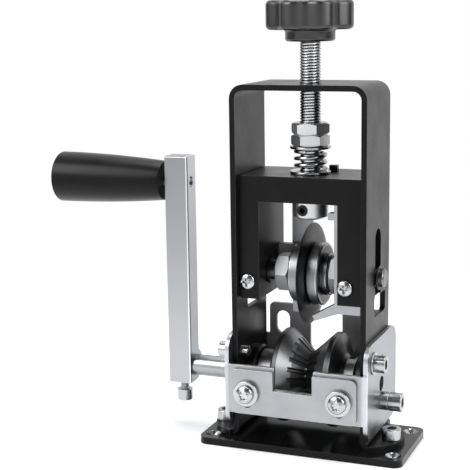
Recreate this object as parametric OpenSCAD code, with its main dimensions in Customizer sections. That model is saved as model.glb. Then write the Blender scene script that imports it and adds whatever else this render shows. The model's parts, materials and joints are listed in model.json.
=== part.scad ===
// Hand crank wire stripper.
// A base plate carries a portal frame.  A crank turns a toothed V roller low in the frame.
// Above it a sprung yoke slides in the frame with the round cutting blade, set by a star knob.
// Millimetres, +Z up.  The origin is the centre of the base plate's underside.
// Inside the portal, sizes are taken from the rod's axis, which stands at portal_x, portal_y.

/* [Base plate] */
// From the longer foot's end to the end of the base plate
base_margin = 1.5; // [1.5:0.5:6]
// Depth of the base plate
base_d = 55; // [52:1:62]
// Thickness of the base plate
base_t = 4; // [3:0.5:6]
// Radius of the base plate's corners
base_r = 5; // [2:0.5:8]
// From the plate's ends to the corner holes
hole_inset_x = 6; // [5.5:0.5:7]
// From the plate's front and back to the corner holes
hole_inset_y = 8; // [6:0.5:10]
// Diameter of the corner holes
hole_d = 4.5; // [4:0.1:5.5]
// Diameter of the corner holes' countersinks
sink_d = 8.4; // [7:0.2:10]

/* [Portal frame] */
// Outer width of the portal frame
portal_w = 75; // [72:1:80]
// Depth of the frame's strip
portal_d = 45; // [42:1:50]
// Height of the frame above the base plate
portal_h = 192; // [186:1:200]
// Thickness of the frame's strip
strip_t = 3; // [2:0.5:4]
// Outer radius of the frame's top bends
bend_r = 7.5; // [5:0.5:10]
// Radius of the round feet
foot_r = 21.5; // [19:0.5:24]
// Length of the feet outside the frame's walls
foot_len = 16; // [14:0.5:20]
// Width of the slots that guide the blade axle
slot_w = 11; // [10.4:0.1:12]

/* [Drive] */
// Height of the drive shaft's axis
shaft_z = 34.6; // [32:0.2:38]
// Diameter of the drive shaft
shaft_d = 12; // [10:0.5:12.5]
// Radius of the roller at its rims
rim_r = 26; // [22:0.5:26.5]
// Radius at the bottom of the roller's groove
groove_r = 14; // [12:0.5:16]
// Width across both rims of the roller
roller_w = 31; // [26:0.5:32]
// Number of teeth round each half of the roller
teeth = 22; // [16:2:28]
// Distance from the shaft's axis to the grip's axis
crank_throw = 106; // [80:1:120]
// Length of the grip
grip_len = 67.5; // [55:0.5:85]
// Diameter of the grip at its outer end
grip_end_d = 28.6; // [24:0.2:32]
// Diameter of the grip beside the crank arm
grip_neck_d = 22; // [18:0.2:24]

/* [Blade] */
// Height of the blade's axis above the base's underside
blade_z = 93.1; // [92:0.1:96]
// Diameter of the blade
blade_d = 55; // [50:0.5:58]
// Thickness of the blade
blade_t = 3; // [2:0.5:4]
// Diameter of the blade's axle
axle_d = 10; // [8:0.5:10.2]

/* [Adjuster] */
// Diameter of the threaded rod
rod_d = 11; // [9:0.5:12]
// Radius of the star knob over its lobes
knob_r = 23.6; // [22:0.2:28]
// Height of the star knob's lobed part
knob_h = 15.4; // [12:0.2:20]
// Number of lobes on the knob
lobes = 7; // [5:1:9]
// Outer diameter of the pressure spring
spring_od = 18; // [17:0.2:20]
// Wire of the pressure spring
spring_wire = 2.1; // [1.4:0.1:2.1]
// Turns of the pressure spring
spring_turns = 2.75; // [2.5:0.25:3.5]

/* [Hidden] */
$fn = 64;
// overrun of every cut
cut = 1;
// gap of a running fit, on the radius
run_fit = 0.05;
// gap of a fixed fit, on the radius
seat_fit = 0.02;
// gap between parts that slide on flat faces
slide_gap = 0.3;
// gap of the gate on its bracket
gate_gap = 0.1;
// gap round a screw or a loose washer, on the radius
loose_fit = 0.25;
// round face of a nut, as a share of its width across flats
nut_face = 0.97;

// the portal's place on the base
portal_x = -2;
portal_y = 4.5;
wall_out = portal_w / 2;
wall_in = wall_out - strip_t;
portal_front = -portal_d / 2;
portal_back = portal_d / 2;
portal_top = base_t + portal_h;
roof = portal_top - strip_t;

// screws
m6_d = 6;
m6_head_d = 10.2;
m6_head_h = 6;
m6_hex = 5;
m6_hex_deep = 3;
m5_d = 5;
m5_hex = 4;
m5_hex_deep = 2.5;

// feet
foot_reach = wall_out + foot_len;
foot_x = foot_reach - foot_r;
foot_y = -4.5;
foot_bend = 1.5;
foot_screw_in = 5.8;
foot_screw_x = foot_reach - foot_screw_in;
foot_screw_off = 3;
foot_screw_y = foot_y - foot_screw_off;
base_w = 2 * (foot_reach - portal_x + base_margin);
foot_top = base_t + strip_t;
bend_z = foot_top + foot_bend;
bend_x = wall_out + foot_bend;

// slots and windows in the walls
slot_top = 119.7;
window_top = 83.5;
window_bottom = 72.5;
window_front = -6.5;
window_back = 15;
window_r = 2;

// guide bracket, wrapped round the frame's front
bracket_t = 2.3;
bracket_gap = 0.2;
bracket_in = wall_out + bracket_gap;
bracket_out = bracket_in + bracket_t;
bracket_front = -30;
bracket_back = 30;
bracket_bend = 3;
ear_top = 61.5;
ear_bottom = 9.6;
ear_r = 9;
ear_front = bracket_front + 2;
front_top = 46.6;
front_bottom = 19.7;
notch_w = 22;
notch_bottom = 34.4;
shaft_hole_d = shaft_d + 1;
end_hole_d = 8.6;
oil_hole_d = 2;
oil_hole_z = 50.2;
oil_hole_y = 1.4;

// side screws of the bracket
side_screw_y = -16.5;
side_screw_z = 50.5;
side_head_d = 9.2;
side_head_h = 6;
side_washer_d = 12;
side_washer_t = 1;
side_proud_left = 4.5;
side_proud_right = 0.5;
lock_z = 25.2;
lock_spacer_d = 10;
lock_spacer_h = 4.6;
lock_head_d = 10.2;
lock_head_h = 7.2;

// cable gate
gate_w = 70;
gate_t = 2;
gate_bottom = 20.2;
gate_top = 44.8;
gate_r = 3.2;
gate_back = bracket_front - gate_gap;
gate_front = gate_back - gate_t;
gate_screw_x = 25.7;
gate_screw_z = 32;
gate_slot_w = 5.6;
gate_slot_low = 23.6;
gate_slot_high = 38;
gate_washer_d = 14;
gate_washer_t = 2.4;
gate_head_d = 10;
gate_head_h = 3.6;
gate_head_r = 1.4;

// rear guide plate between the bracket's ears
rear_t = 2.4;
rear_front = 27;
rear_bottom = 14;
rear_shoulder = 49.6;
rear_top = 68;
rear_tab_x = 34.3;
rear_notch_w = 19;
rear_notch_bottom = 40;
rear_notch_r = 6;
rear_slot_x = 26;
rear_slot_w = 8;
rear_slot_low = 50;
rear_slot_high = 63.3;

// bearings of the drive shaft
bearing_d = 30.6;
bearing_t = 6.5;
bearing_lip = 1.2;

// drive shaft and roller
cut_x = 0.8;
groove_flat = 1;
rim_t = 2.2;
flare = 5;
// the flare behind a rim, as shares of its height over the hub and of its length
flare_shares = [[1, 0], [0.5, 0.22], [0.16, 0.55], [0, 1]];
hub_d = 26;
hub_gap = 0.6;
tooth_out_r = 21;
tooth_deep = 1.1;
tooth_half = 1.4;
thrust_t = 0.9;
thrust_d = 18;
bearing_face = wall_in - bearing_t;
thrust_right = bearing_face - gate_gap;
hub_right_x = thrust_right - thrust_t;
hub_left_x = hub_gap - bearing_face;
roller_screw_d = 4;
roller_screw_in = 3.2;
roller_screw_x = hub_right_x - roller_screw_in;
roller_screw_hex = 2.5;
roller_screw_sink = 0.5;
shaft_end_gap = 0.3;
shaft_right_x = wall_out - shaft_end_gap;
shaft_edge = 0.6;

// crank arm and grip
arm_right = -69.6;
arm_w = 13.2;
arm_left = arm_right - arm_w;
arm_front = -7.5;
arm_t = 12;
arm_top_z = 155.1;
arm_boss_r = 9.4;
arm_edge = 0.8;
arm_bottom_z = shaft_z - arm_boss_r;
grip_z = shaft_z + crank_throw;
stud_y = arm_front + arm_t / 2;
stud_d = 6;
stud_collar_d = 9;
stud_collar_t = 1.8;
grip_end_wall = 7.5;
stud_deep = grip_len - grip_end_wall;
grip_fullness = 0.85;
grip_dome = 2.5;
grip_dome_power = 2.4;
grip_steps = 12;
grip_right = arm_left - stud_collar_t - slide_gap;
clamp_x = (arm_left + arm_right) / 2;
clamp_y = -1;
clamp_gap = 5;
clamp_head_h = 6.6;
clamp_head_d = 8.8;

// yoke
yoke_front = -18.5;
yoke_back = 21;
yoke_top = 147.8;
yoke_under = 134;
yoke_foot = 80.8;
yoke_out = wall_in - slide_gap;
yoke_left_in = -23.1;
yoke_right_in = 20.6;
yoke_r = 1;
yoke_screw_z = 90.3;
yoke_screw_left = -29.6;
yoke_screw_right = 24.9;
pan_d = 7.6;
pan_h = 2.6;
m4_d = 4;
yoke_screw_deep = 4.5;
bush_d = 14;

// jacket plough, upright bar and its block
plough_t = 2;
plough_foot_t = 5;
plough_front = -17.5;
plough_web_back = -11.5;
plough_foot_back = -8;
plough_foot_x = 33;
plough_tip_x = 6.4;
plough_tip_drop = 4.6;
plough_tip_slope = 1.6;
plough_tip_t = 2.6;
plough_lug_t = 3.5;
plough_lug_drop = 4.6;
bar_x = -16.4;
bar_w = 11.8;
bar_front = 16.5;
bar_t = 3;
bar_foot = 66.2;
block_top = 106;
block_bottom = 96;

// blade stack on the axle, from the blade outward
blade_edge = 6.5;
blade_edge_t = 0.3;
left_flange_d = 32;
left_flange_t = 7.6;
right_flange_d = 34.4;
right_flange_t = 6.4;
flange_edge = 0.8;
right_collar_d = 23;
right_collar_t = 3.8;
nut_af = 19;
nut_turn = 30;
left_nut_h = 7.8;
right_nut_h = 7.4;
stack_washer_d = 18.4;
stack_washer_t = 1.6;
axle_proud = 3;
axle_edge = 0.8;
clip_d = 13;
clip_t = 1;

// adjuster
jam_af = 18;
jam_h = 6.2;
jam_turn_low = 17;
jam_turn_high = 6;
washer_d = 22;
washer_t = 1.5;
low_washer_z = yoke_top;
spring_low = low_washer_z + washer_t;
spring_high = 161.1;
jam_low = spring_high + washer_t;
rod_bottom = 123.3;
collar_d = 18.8;
collar_h = 9.8;
collar_low = 123.8;
collar_edge = 1;
collar_screw_d = 6;
collar_screw_turn = -10;
hub_low = 217.6;
knob_low = 223.6;
knob_hub_d = 26.4;
knob_hub_edge = 1.5;
// the crown's round starts inside the lobes' tips and would end beyond them
knob_edge = 3;
knob_crown = 0.6;
knob_top = knob_low + knob_h;
lobe_r = 5.4;
lobe_depth = 3.2;
knob_core_r = knob_r - lobe_depth;
knob_turn = 25.5;
knob_seat = 4;
cap_d = 28;
cap_t = 1.5;
stop_x = 7.4;
stop_y = 9;
stop_w = 4.6;
stop_d = 3.5;
stop_h = 3.4;

// edges, shanks and small steps
head_edge = 0.6;
washer_edge = 0.25;
foot_screw_end = 0.6;
gate_head_dome = 6.2;
gate_shank = gate_washer_t + gate_gap + gate_t + gate_gap + bracket_t;
rear_corner = 3;
rim_edge = 0.6;
tooth_runout = 2;
tooth_root = 0.35;
grip_edge = 0.8;
stud_sink = 3;
pan_dome = 5;
bush_proud = 1;
bar_r = 1;
block_side = 6.5;
block_deep = 5;
collar_screw_proud = 0.3;
collar_screw_hex = 3;
cap_edge = 0.5;

// places worked out from the values above
blade_left = cut_x - blade_t / 2;
blade_right = cut_x + blade_t / 2;
left_flange_x = blade_left - left_flange_t;
stack_washer_x = left_flange_x - stack_washer_t;
left_nut_x = stack_washer_x - left_nut_h;
right_flange_x = blade_right + right_flange_t;
right_collar_x = right_flange_x + right_collar_t;
clip_x = wall_out + slide_gap;
axle_end = clip_x + clip_t + axle_proud;
jam_mid = jam_low + jam_h;
rod_top = knob_top - knob_seat;
groove_run = roller_w / 2 - rim_t - groove_flat / 2;
cone_angle = atan2(rim_r - groove_r, groove_run);
tooth_len = (tooth_out_r - groove_r) / sin(cone_angle);
gate_h = gate_top - gate_bottom;

// the spring's polygon, along its wire and round it
coil_steps = 8;
coil_sides = 6;
coil_r = (spring_od - spring_wire) / 2;
coil_rings = round(spring_turns * coil_steps);
coil_low = spring_low + spring_wire / 2 + gate_gap;
coil_rise = spring_high - spring_low - spring_wire - 2 * gate_gap;

// Shapes used by many pieces

module box(x0, x1, y0, y1, z0, z1) {
    translate([x0, y0, z0]) cube([x1 - x0, y1 - y0, z1 - z0]);
}

module along_x(x0, x1, d, y = 0, z = 0) {
    translate([x0, y, z]) rotate([0, 90, 0]) cylinder(h = x1 - x0, d = d);
}

module along_y(y0, y1, d, x = 0, z = 0) {
    translate([x, y0, z]) rotate([-90, 0, 0]) cylinder(h = y1 - y0, d = d);
}

module upright(z0, z1, d, x = 0, y = 0) {
    translate([x, y, z0]) cylinder(h = z1 - z0, d = d);
}

// an outline drawn across Y and up Z, as thick as x0 to x1
module side_plate(x0, x1) {
    translate([x0, 0, 0]) rotate([90, 0, 90]) linear_extrude(x1 - x0) children();
}

// an outline drawn across X and up Z, as thick as y0 to y1
module front_plate(y0, y1) {
    translate([0, y1, 0]) rotate([90, 0, 0]) linear_extrude(y1 - y0) children();
}

// an outline of radius and X, turned about an axis along X
module turned_x(y = 0, z = 0) {
    translate([0, y, z]) rotate([0, 90, 0]) rotate_extrude() children();
}

module rounded_rect(x0, x1, y0, y1, r) {
    translate([x0 + r, y0]) square([x1 - x0 - 2 * r, y1 - y0]);
    translate([x0, y0 + r]) square([x1 - x0, y1 - y0 - 2 * r]);
    for (x = [x0 + r, x1 - r], y = [y0 + r, y1 - r])
        translate([x, y]) circle(r);
}

// a slot with round ends, upright
module slot(x, y0, y1, w) {
    translate([x - w / 2, y0 + w / 2]) square([w, y1 - y0 - w]);
    for (y = [y0 + w / 2, y1 - w / 2])
        translate([x, y]) circle(d = w);
}

// a ring with its outer edges broken, from z = 0 up
module ring(d, h, bore, edge) {
    rotate_extrude()
        polygon([
            [bore / 2, 0], [d / 2 - edge, 0], [d / 2, edge],
            [d / 2, h - edge], [d / 2 - edge, h], [bore / 2, h]
        ]);
}

// a hexagon nut with its corners turned off, from z = 0 up
module hex_nut(af, h, bore) {
    corner = af / cos(30) / 2;
    flat = af / 2 * nut_face;
    drop = (corner - flat) * tan(30);
    difference() {
        intersection() {
            cylinder(h = h, r = corner, $fn = 6);
            rotate_extrude()
                polygon([
                    [0, 0], [flat, 0], [corner, drop],
                    [corner, h - drop], [flat, h], [0, h]
                ]);
        }
        translate([0, 0, -cut]) cylinder(h = h + 2 * cut, d = bore);
    }
}

// a screw with a round head that stands on z = 0 and a shank below it
module cap_screw(d, len, head_d, head_h, hex, hex_deep, edge) {
    difference() {
        union() {
            ring(head_d, head_h, 0, edge);
            translate([0, 0, -len]) cylinder(h = len + edge, d = d);
        }
        translate([0, 0, head_h - hex_deep])
            cylinder(h = hex_deep + cut, r = hex / cos(30) / 2, $fn = 6);
    }
}

// a disc whose edges are rounded, from z = 0 up
module soft_disc(r, h, edge) {
    rotate_extrude() {
        square([r - edge, h]);
        translate([0, edge]) square([r, h - 2 * edge]);
        for (z = [edge, h - edge])
            translate([r - edge, z]) circle(edge);
    }
}

// moves what is measured from the rod's axis to its place on the base
module in_portal() {
    translate([portal_x, portal_y, 0]) children();
}

module both_sides() {
    children();
    mirror([1, 0, 0]) children();
}

// The base and the portal

module base_plate() {
    color("#1c1c1d")
    difference() {
        linear_extrude(base_t)
            rounded_rect(-base_w / 2, base_w / 2, -base_d / 2, base_d / 2, base_r);
        for (sx = [-1, 1], sy = [-1, 1])
            translate([sx * (base_w / 2 - hole_inset_x), sy * (base_d / 2 - hole_inset_y), 0]) {
                translate([0, 0, -cut]) cylinder(h = base_t + 2 * cut, d = hole_d);
                translate([0, 0, base_t - (sink_d - hole_d) / 2])
                    cylinder(h = (sink_d - hole_d) / 2 + cut, d1 = hole_d, d2 = sink_d + 2 * cut);
            }
        in_portal()
            for (sx = [-1, 1])
                upright(-cut, base_t + cut, m6_d + 2 * seat_fit, sx * foot_screw_x, foot_screw_y);
    }
}

module arch_outline(half, bottom, top, r) {
    translate([-half, bottom]) square([2 * half, top - r - bottom]);
    translate([r - half, bottom]) square([2 * (half - r), top - bottom]);
    for (sx = [-1, 1])
        translate([sx * (half - r), top - r]) circle(r);
}

// the strip from the front: an arch whose ends turn outward
module strip_outline() {
    difference() {
        arch_outline(wall_out, bend_z, portal_top, bend_r);
        arch_outline(wall_in, bend_z - cut, roof, bend_r - strip_t);
    }
    both_sides()
        intersection() {
            translate([bend_x, bend_z])
                difference() {
                    circle(foot_bend + strip_t);
                    circle(foot_bend);
                }
            translate([wall_in, base_t]) square([foot_bend + strip_t, foot_bend + strip_t]);
        }
}

// the round end of the strip, flat on the base
module foot_tab() {
    intersection() {
        translate([foot_x, foot_y]) circle(foot_r);
        translate([bend_x, foot_y - foot_r]) square([foot_reach, 2 * foot_r]);
    }
}

// the slot for the axle and the window below it
module wall_openings() {
    translate([-slot_w / 2, window_top - window_r])
        square([slot_w, slot_top - slot_w / 2 - window_top + window_r]);
    translate([0, slot_top - slot_w / 2]) circle(d = slot_w);
    rounded_rect(window_front, window_back, window_bottom, window_top, window_r);
}

module portal_frame() {
    color("#202022")
    difference() {
        in_portal() {
            front_plate(portal_front, portal_back) strip_outline();
            translate([0, 0, base_t]) linear_extrude(strip_t) both_sides() foot_tab();
        }
        in_portal() {
            upright(roof - cut, portal_top + cut, rod_d + 2 * run_fit);
            side_plate(-wall_out - cut, wall_out + cut) wall_openings();
            along_x(-wall_out - cut, wall_out + cut, shaft_d + 2 * run_fit, 0, shaft_z);
            along_x(-wall_out - cut, wall_out + cut, m6_d + 2 * seat_fit,
                side_screw_y, side_screw_z);
            along_x(wall_in - cut, wall_out + cut, m5_d + 2 * seat_fit, 0, lock_z);
            for (sx = [-1, 1])
                upright(base_t - cut, foot_top + cut, m6_d + 2 * loose_fit,
                    sx * foot_screw_x, foot_screw_y);
        }
    }
}

module foot_screws() {
    color("#c9cbcd")
    in_portal()
    for (sx = [-1, 1])
        translate([sx * foot_screw_x, foot_screw_y, foot_top])
            cap_screw(m6_d, foot_top - foot_screw_end, m6_head_d, m6_head_h,
                m6_hex, m6_hex_deep, head_edge);
}

// The guide bracket, the gate and the rear plate

module bracket_wrap() {
    reach = bracket_front + bracket_bend;
    difference() {
        rounded_rect(-bracket_out, bracket_out, bracket_front, -bracket_front, bracket_bend);
        translate([-bracket_in, bracket_front + bracket_t])
            square([2 * bracket_in, -2 * bracket_front]);
        translate([-bracket_out - cut, reach])
            square([2 * (bracket_out + cut), -2 * bracket_front]);
    }
}

module ear_outline() {
    rounded_rect(ear_front, bracket_back, ear_bottom, ear_top, ear_r);
}

module guide_bracket() {
    color("#b9bbbd")
    in_portal() difference() {
        union() {
            translate([0, 0, front_bottom])
                linear_extrude(front_top - front_bottom) bracket_wrap();
            both_sides() side_plate(bracket_in, bracket_out) ear_outline();
        }
        box(-notch_w / 2, notch_w / 2, bracket_front - cut, bracket_front + bracket_t + cut,
            notch_bottom, front_top + cut);
        for (x = [-gate_screw_x, gate_screw_x])
            along_y(bracket_front - cut, bracket_front + bracket_t + cut,
                m5_d + 2 * seat_fit, x, gate_screw_z);
        along_x(-bracket_out - cut, -bracket_in + cut, shaft_hole_d, 0, shaft_z);
        along_x(bracket_in - cut, bracket_out + cut, end_hole_d, 0, shaft_z);
        along_x(bracket_in - cut, bracket_out + cut, oil_hole_d, oil_hole_y, oil_hole_z);
        along_x(bracket_in - cut, bracket_out + cut, m5_d + 2 * loose_fit, 0, lock_z);
        along_x(-bracket_out - cut, bracket_out + cut, m6_d + 2 * loose_fit,
            side_screw_y, side_screw_z);
    }
}

// a side screw, tapped through the right wall, whose end stands proud inside it
module side_screw(proud) {
    translate([bracket_out + side_washer_t, side_screw_y, side_screw_z]) rotate([0, 90, 0])
        cap_screw(m6_d, side_washer_t + bracket_out - wall_in + proud,
            side_head_d, side_head_h, m6_hex, m6_hex_deep, head_edge);
}

module bracket_screws() {
    color("#c9cbcd")
    in_portal() {
        side_screw(side_proud_right);
        mirror([1, 0, 0]) side_screw(side_proud_left);
    }
}

module bracket_washers() {
    color("#c9cbcd")
    in_portal() both_sides()
        translate([bracket_out, side_screw_y, side_screw_z]) rotate([0, 90, 0])
            ring(side_washer_d, side_washer_t, m6_d + 2 * seat_fit, washer_edge);
}

module side_lock_spacer() {
    color("#c9cbcd")
    in_portal() translate([bracket_out, 0, lock_z]) rotate([0, 90, 0])
        ring(lock_spacer_d, lock_spacer_h, m5_d + 2 * seat_fit, washer_edge);
}

module side_lock_screw() {
    color("#c9cbcd")
    in_portal() translate([bracket_out + lock_spacer_h, 0, lock_z]) rotate([0, 90, 0])
        cap_screw(m5_d, lock_spacer_h + bracket_out - wall_in, lock_head_d, lock_head_h,
            m6_hex, m6_hex_deep, head_edge);
}

module cable_gate() {
    color("#bfc1c3")
    in_portal() front_plate(gate_front, gate_back)
        difference() {
            rounded_rect(-gate_w / 2, gate_w / 2, gate_bottom, gate_top, gate_r);
            translate([-notch_w / 2, notch_bottom]) square([notch_w, gate_h]);
            for (x = [-gate_screw_x, gate_screw_x])
                slot(x, gate_slot_low, gate_slot_high, gate_slot_w);
        }
}

module gate_screws() {
    color("#c9cbcd")
    in_portal()
    for (x = [-gate_screw_x, gate_screw_x])
        translate([x, gate_front - gate_gap - gate_washer_t, gate_screw_z]) rotate([90, 0, 0])
            difference() {
                union() {
                    intersection() {
                        soft_disc(gate_head_d / 2, 2 * gate_head_h, gate_head_r);
                        translate([0, 0, gate_head_h - gate_head_dome])
                            sphere(gate_head_dome);
                    }
                    translate([0, 0, -gate_shank]) cylinder(h = gate_shank + head_edge, d = m5_d);
                }
                translate([0, 0, gate_head_h - m5_hex_deep])
                    cylinder(h = m5_hex_deep + cut, r = m5_hex / cos(30) / 2, $fn = 6);
            }
}

module gate_washers() {
    color("#c9cbcd")
    in_portal()
    for (x = [-gate_screw_x, gate_screw_x])
        translate([x, gate_front - gate_gap, gate_screw_z]) rotate([90, 0, 0])
            ring(gate_washer_d, gate_washer_t, m5_d + 2 * seat_fit, washer_edge);
}

module rear_plate() {
    color("#232325")
    in_portal() front_plate(rear_front, rear_front + rear_t)
        difference() {
            union() {
                translate([-bracket_in, rear_bottom])
                    square([2 * bracket_in, rear_shoulder - rear_bottom]);
                rounded_rect(-rear_tab_x, rear_tab_x, rear_bottom, rear_top, rear_corner);
            }
            translate([-rear_notch_w / 2, rear_notch_bottom + rear_notch_r])
                square([rear_notch_w, rear_top]);
            translate([rear_notch_r - rear_notch_w / 2, rear_notch_bottom])
                square([rear_notch_w - 2 * rear_notch_r, rear_top]);
            for (sx = [-1, 1])
                translate([sx * (rear_notch_w / 2 - rear_notch_r), rear_notch_bottom + rear_notch_r])
                    circle(rear_notch_r);
            for (x = [-rear_slot_x, rear_slot_x])
                slot(x, rear_slot_low, rear_slot_high, rear_slot_w);
        }
}

// The drive

module bearing_outline(bore) {
    polygon([
        [bore / 2, 0], [bearing_d / 2, 0], [bearing_d / 2, bearing_t - bearing_lip],
        [bearing_d / 2 - bearing_lip, bearing_t], [bore / 2, bearing_t]
    ]);
}

module right_bearing() {
    color("#1f1f20")
    in_portal() translate([wall_in, 0, shaft_z]) rotate([0, -90, 0])
        rotate_extrude() bearing_outline(shaft_d + 2 * run_fit);
}

module left_bearing() {
    color("#1f1f20")
    in_portal() translate([-wall_in, 0, shaft_z]) rotate([0, 90, 0])
        rotate_extrude() bearing_outline(shaft_d + 2 * run_fit);
}

module drive_shaft() {
    color("#8e9092")
    in_portal() translate([arm_left, 0, shaft_z]) rotate([0, 90, 0])
        ring(shaft_d, shaft_right_x - arm_left, 0, shaft_edge);
}

module thrust_washer() {
    color("#c2c4c6")
    in_portal() translate([hub_right_x, 0, shaft_z]) rotate([0, 90, 0])
        ring(thrust_d, thrust_t, shaft_d + 2 * seat_fit, washer_edge);
}

// one half of the roller, from its meeting face at z = 0 up its hub
module roller_half(hub_len) {
    bore = shaft_d / 2 + seat_fit;
    half_w = roller_w / 2;
    hub_r = hub_d / 2;
    difference() {
        rotate_extrude()
            polygon(concat(
                [[bore, 0], [groove_r, 0], [groove_r, groove_flat / 2], [rim_r, half_w - rim_t],
                    [rim_r, half_w]],
                [for (s = flare_shares)
                    [hub_r + s[0] * (rim_r - rim_edge - hub_r), half_w + rim_edge + s[1] * flare]],
                [[hub_r, half_w + hub_len], [bore, half_w + hub_len]]
            ));
        for (i = [0 : teeth - 1])
            rotate([0, 0, i * 360 / teeth])
                translate([groove_r, 0, groove_flat / 2]) rotate([0, cone_angle, 0])
                    translate([0, 0, -tooth_runout])
                        linear_extrude(tooth_len + tooth_runout)
                            polygon([
                                [-tooth_deep, -tooth_root], [-tooth_deep, tooth_root],
                                [tooth_deep, 2 * tooth_half - tooth_root],
                                [tooth_deep, tooth_root - 2 * tooth_half]
                            ]);
    }
}

module left_roller_half() {
    color("#77797b")
    in_portal() translate([cut_x, 0, shaft_z]) rotate([0, -90, 0])
        roller_half(cut_x - roller_w / 2 - hub_left_x);
}

module right_roller_half() {
    color("#77797b")
    in_portal() difference() {
        translate([cut_x, 0, shaft_z]) rotate([0, 90, 0])
            roller_half(hub_right_x - cut_x - roller_w / 2);
        upright(shaft_z, shaft_z + hub_d, roller_screw_d + 2 * seat_fit, roller_screw_x);
    }
}

module roller_set_screw() {
    color("#2a2a2b")
    in_portal()
    difference() {
        upright(shaft_z + shaft_d / 2, shaft_z + hub_d / 2 - roller_screw_sink,
            roller_screw_d, roller_screw_x);
        translate([roller_screw_x, 0, shaft_z + hub_d / 2 - roller_screw_sink - roller_screw_hex])
            cylinder(h = roller_screw_hex + cut, r = roller_screw_hex / cos(30) / 2, $fn = 6);
    }
}

module crank_arm() {
    color("#b4b6b8")
    in_portal() difference() {
        side_plate(arm_left, arm_right) {
            translate([arm_front, arm_bottom_z]) square([-arm_front, arm_boss_r]);
            intersection() {
                translate([0, shaft_z]) circle(arm_boss_r);
                translate([arm_front, arm_bottom_z]) square(2 * arm_boss_r);
            }
            translate([arm_front, shaft_z]) square([arm_t, arm_top_z - arm_edge - shaft_z]);
            translate([arm_front + arm_edge, shaft_z])
                square([arm_t - 2 * arm_edge, arm_top_z - shaft_z]);
            for (y = [arm_front + arm_edge, arm_front + arm_t - arm_edge])
                translate([y, arm_top_z - arm_edge]) circle(arm_edge);
        }
        along_x(arm_left - cut, arm_right + cut, shaft_d + 2 * seat_fit, 0, shaft_z);
        along_x(arm_left - cut, arm_right + cut, stud_d + 2 * seat_fit, stud_y, grip_z);
        upright(arm_bottom_z - cut, shaft_z, m5_d + 2 * seat_fit, clamp_x, clamp_y);
    }
}

module clamp_screw() {
    color("#c9cbcd")
    in_portal()
    translate([clamp_x, clamp_y, arm_bottom_z - clamp_gap]) rotate([180, 0, 0])
        cap_screw(m5_d, clamp_gap + arm_boss_r - shaft_d / 2 - slide_gap, clamp_head_d,
            clamp_head_h, m5_hex, m5_hex_deep, head_edge);
}

module grip_stud() {
    color("#a9abad")
    in_portal() translate([0, stud_y, grip_z]) {
        along_x(arm_left - stud_deep, arm_right - stud_sink, stud_d);
        along_x(arm_left - stud_collar_t, arm_left, stud_collar_d);
    }
}

// radius of the grip at a share of its length from its neck
function grip_r(t) =
    grip_neck_d / 2 + (grip_end_d - grip_neck_d) / 2 * pow(sin(90 * t), grip_fullness);

module grip() {
    body = grip_len - grip_dome;
    color("#19191a")
    in_portal() translate([grip_right, stud_y, grip_z]) rotate([0, -90, 0])
        difference() {
            rotate_extrude()
                polygon(concat(
                    [[0, 0], [grip_neck_d / 2 - grip_edge, 0]],
                    [for (i = [0 : grip_steps])
                        let (t = i / grip_steps) [grip_r(t), grip_edge + t * (body - grip_edge)]],
                    [for (i = [1 : grip_steps - 1])
                        let (a = 90 * i / grip_steps)
                        [grip_end_d / 2 * pow(cos(a), 2 / grip_dome_power),
                            body + grip_dome * pow(sin(a), 2 / grip_dome_power)]],
                    [[0, grip_len]]
                ));
            translate([0, 0, -cut])
                cylinder(h = stud_deep + slide_gap + cut, d = stud_d + 2 * run_fit);
        }
}

// The yoke and what it carries

module carriage_yoke() {
    color("#1e1e1f")
    in_portal() difference() {
        front_plate(yoke_front, yoke_back)
            difference() {
                rounded_rect(-yoke_out, yoke_out, yoke_foot, yoke_top, yoke_r);
                translate([yoke_left_in, yoke_foot - cut])
                    square([yoke_right_in - yoke_left_in, yoke_under - yoke_foot + cut]);
            }
        upright(yoke_under - cut, yoke_top + cut, rod_d + 2 * run_fit);
        along_x(-yoke_out - cut, yoke_out + cut, bush_d + 2 * seat_fit, 0, blade_z);
        for (x = [yoke_screw_left, yoke_screw_right])
            along_y(yoke_front - cut, yoke_front + yoke_screw_deep + cut,
                m4_d + 2 * seat_fit, x, yoke_screw_z);
    }
}

module yoke_screws() {
    color("#c9cbcd")
    in_portal()
    for (x = [yoke_screw_left, yoke_screw_right])
        translate([x, yoke_front, yoke_screw_z]) rotate([90, 0, 0]) {
            intersection() {
                cylinder(h = pan_h, d = pan_d);
                translate([0, 0, pan_h - pan_dome]) sphere(pan_dome);
            }
            translate([0, 0, -yoke_screw_deep])
                cylinder(h = yoke_screw_deep + pan_h / 2, d = m4_d);
        }
}

module axle_bushes() {
    color("#8f7a4d")
    in_portal() difference() {
        union() {
            along_x(-yoke_out, yoke_left_in + bush_proud, bush_d, 0, blade_z);
            along_x(yoke_right_in, yoke_out, bush_d, 0, blade_z);
        }
        along_x(-yoke_out - cut, yoke_out + cut, axle_d + 2 * run_fit, 0, blade_z);
    }
}

module jacket_plough() {
    web = yoke_right_in - plough_t;
    color("#a8aaac")
    in_portal() {
        front_plate(plough_front, plough_web_back)
            translate([web, yoke_foot]) square([plough_t, yoke_under - yoke_foot]);
        front_plate(plough_front, plough_foot_back)
            polygon([
                [plough_foot_x, yoke_foot], [web, yoke_foot],
                [plough_tip_x, yoke_foot - plough_foot_t - plough_tip_drop + plough_tip_t],
                [plough_tip_x + plough_tip_slope, yoke_foot - plough_foot_t - plough_tip_drop],
                [yoke_right_in, yoke_foot - plough_foot_t], [plough_foot_x, yoke_foot - plough_foot_t]
            ]);
        box(web - plough_lug_t, web, plough_front, plough_web_back,
            yoke_under - plough_lug_drop - plough_lug_t, yoke_under - plough_lug_drop);
    }
}

module rear_bar() {
    color("#9b9d9f")
    in_portal() front_plate(bar_front, bar_front + bar_t)
        rounded_rect(bar_x, bar_x + bar_w, bar_foot, yoke_under, bar_r);
}

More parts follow.
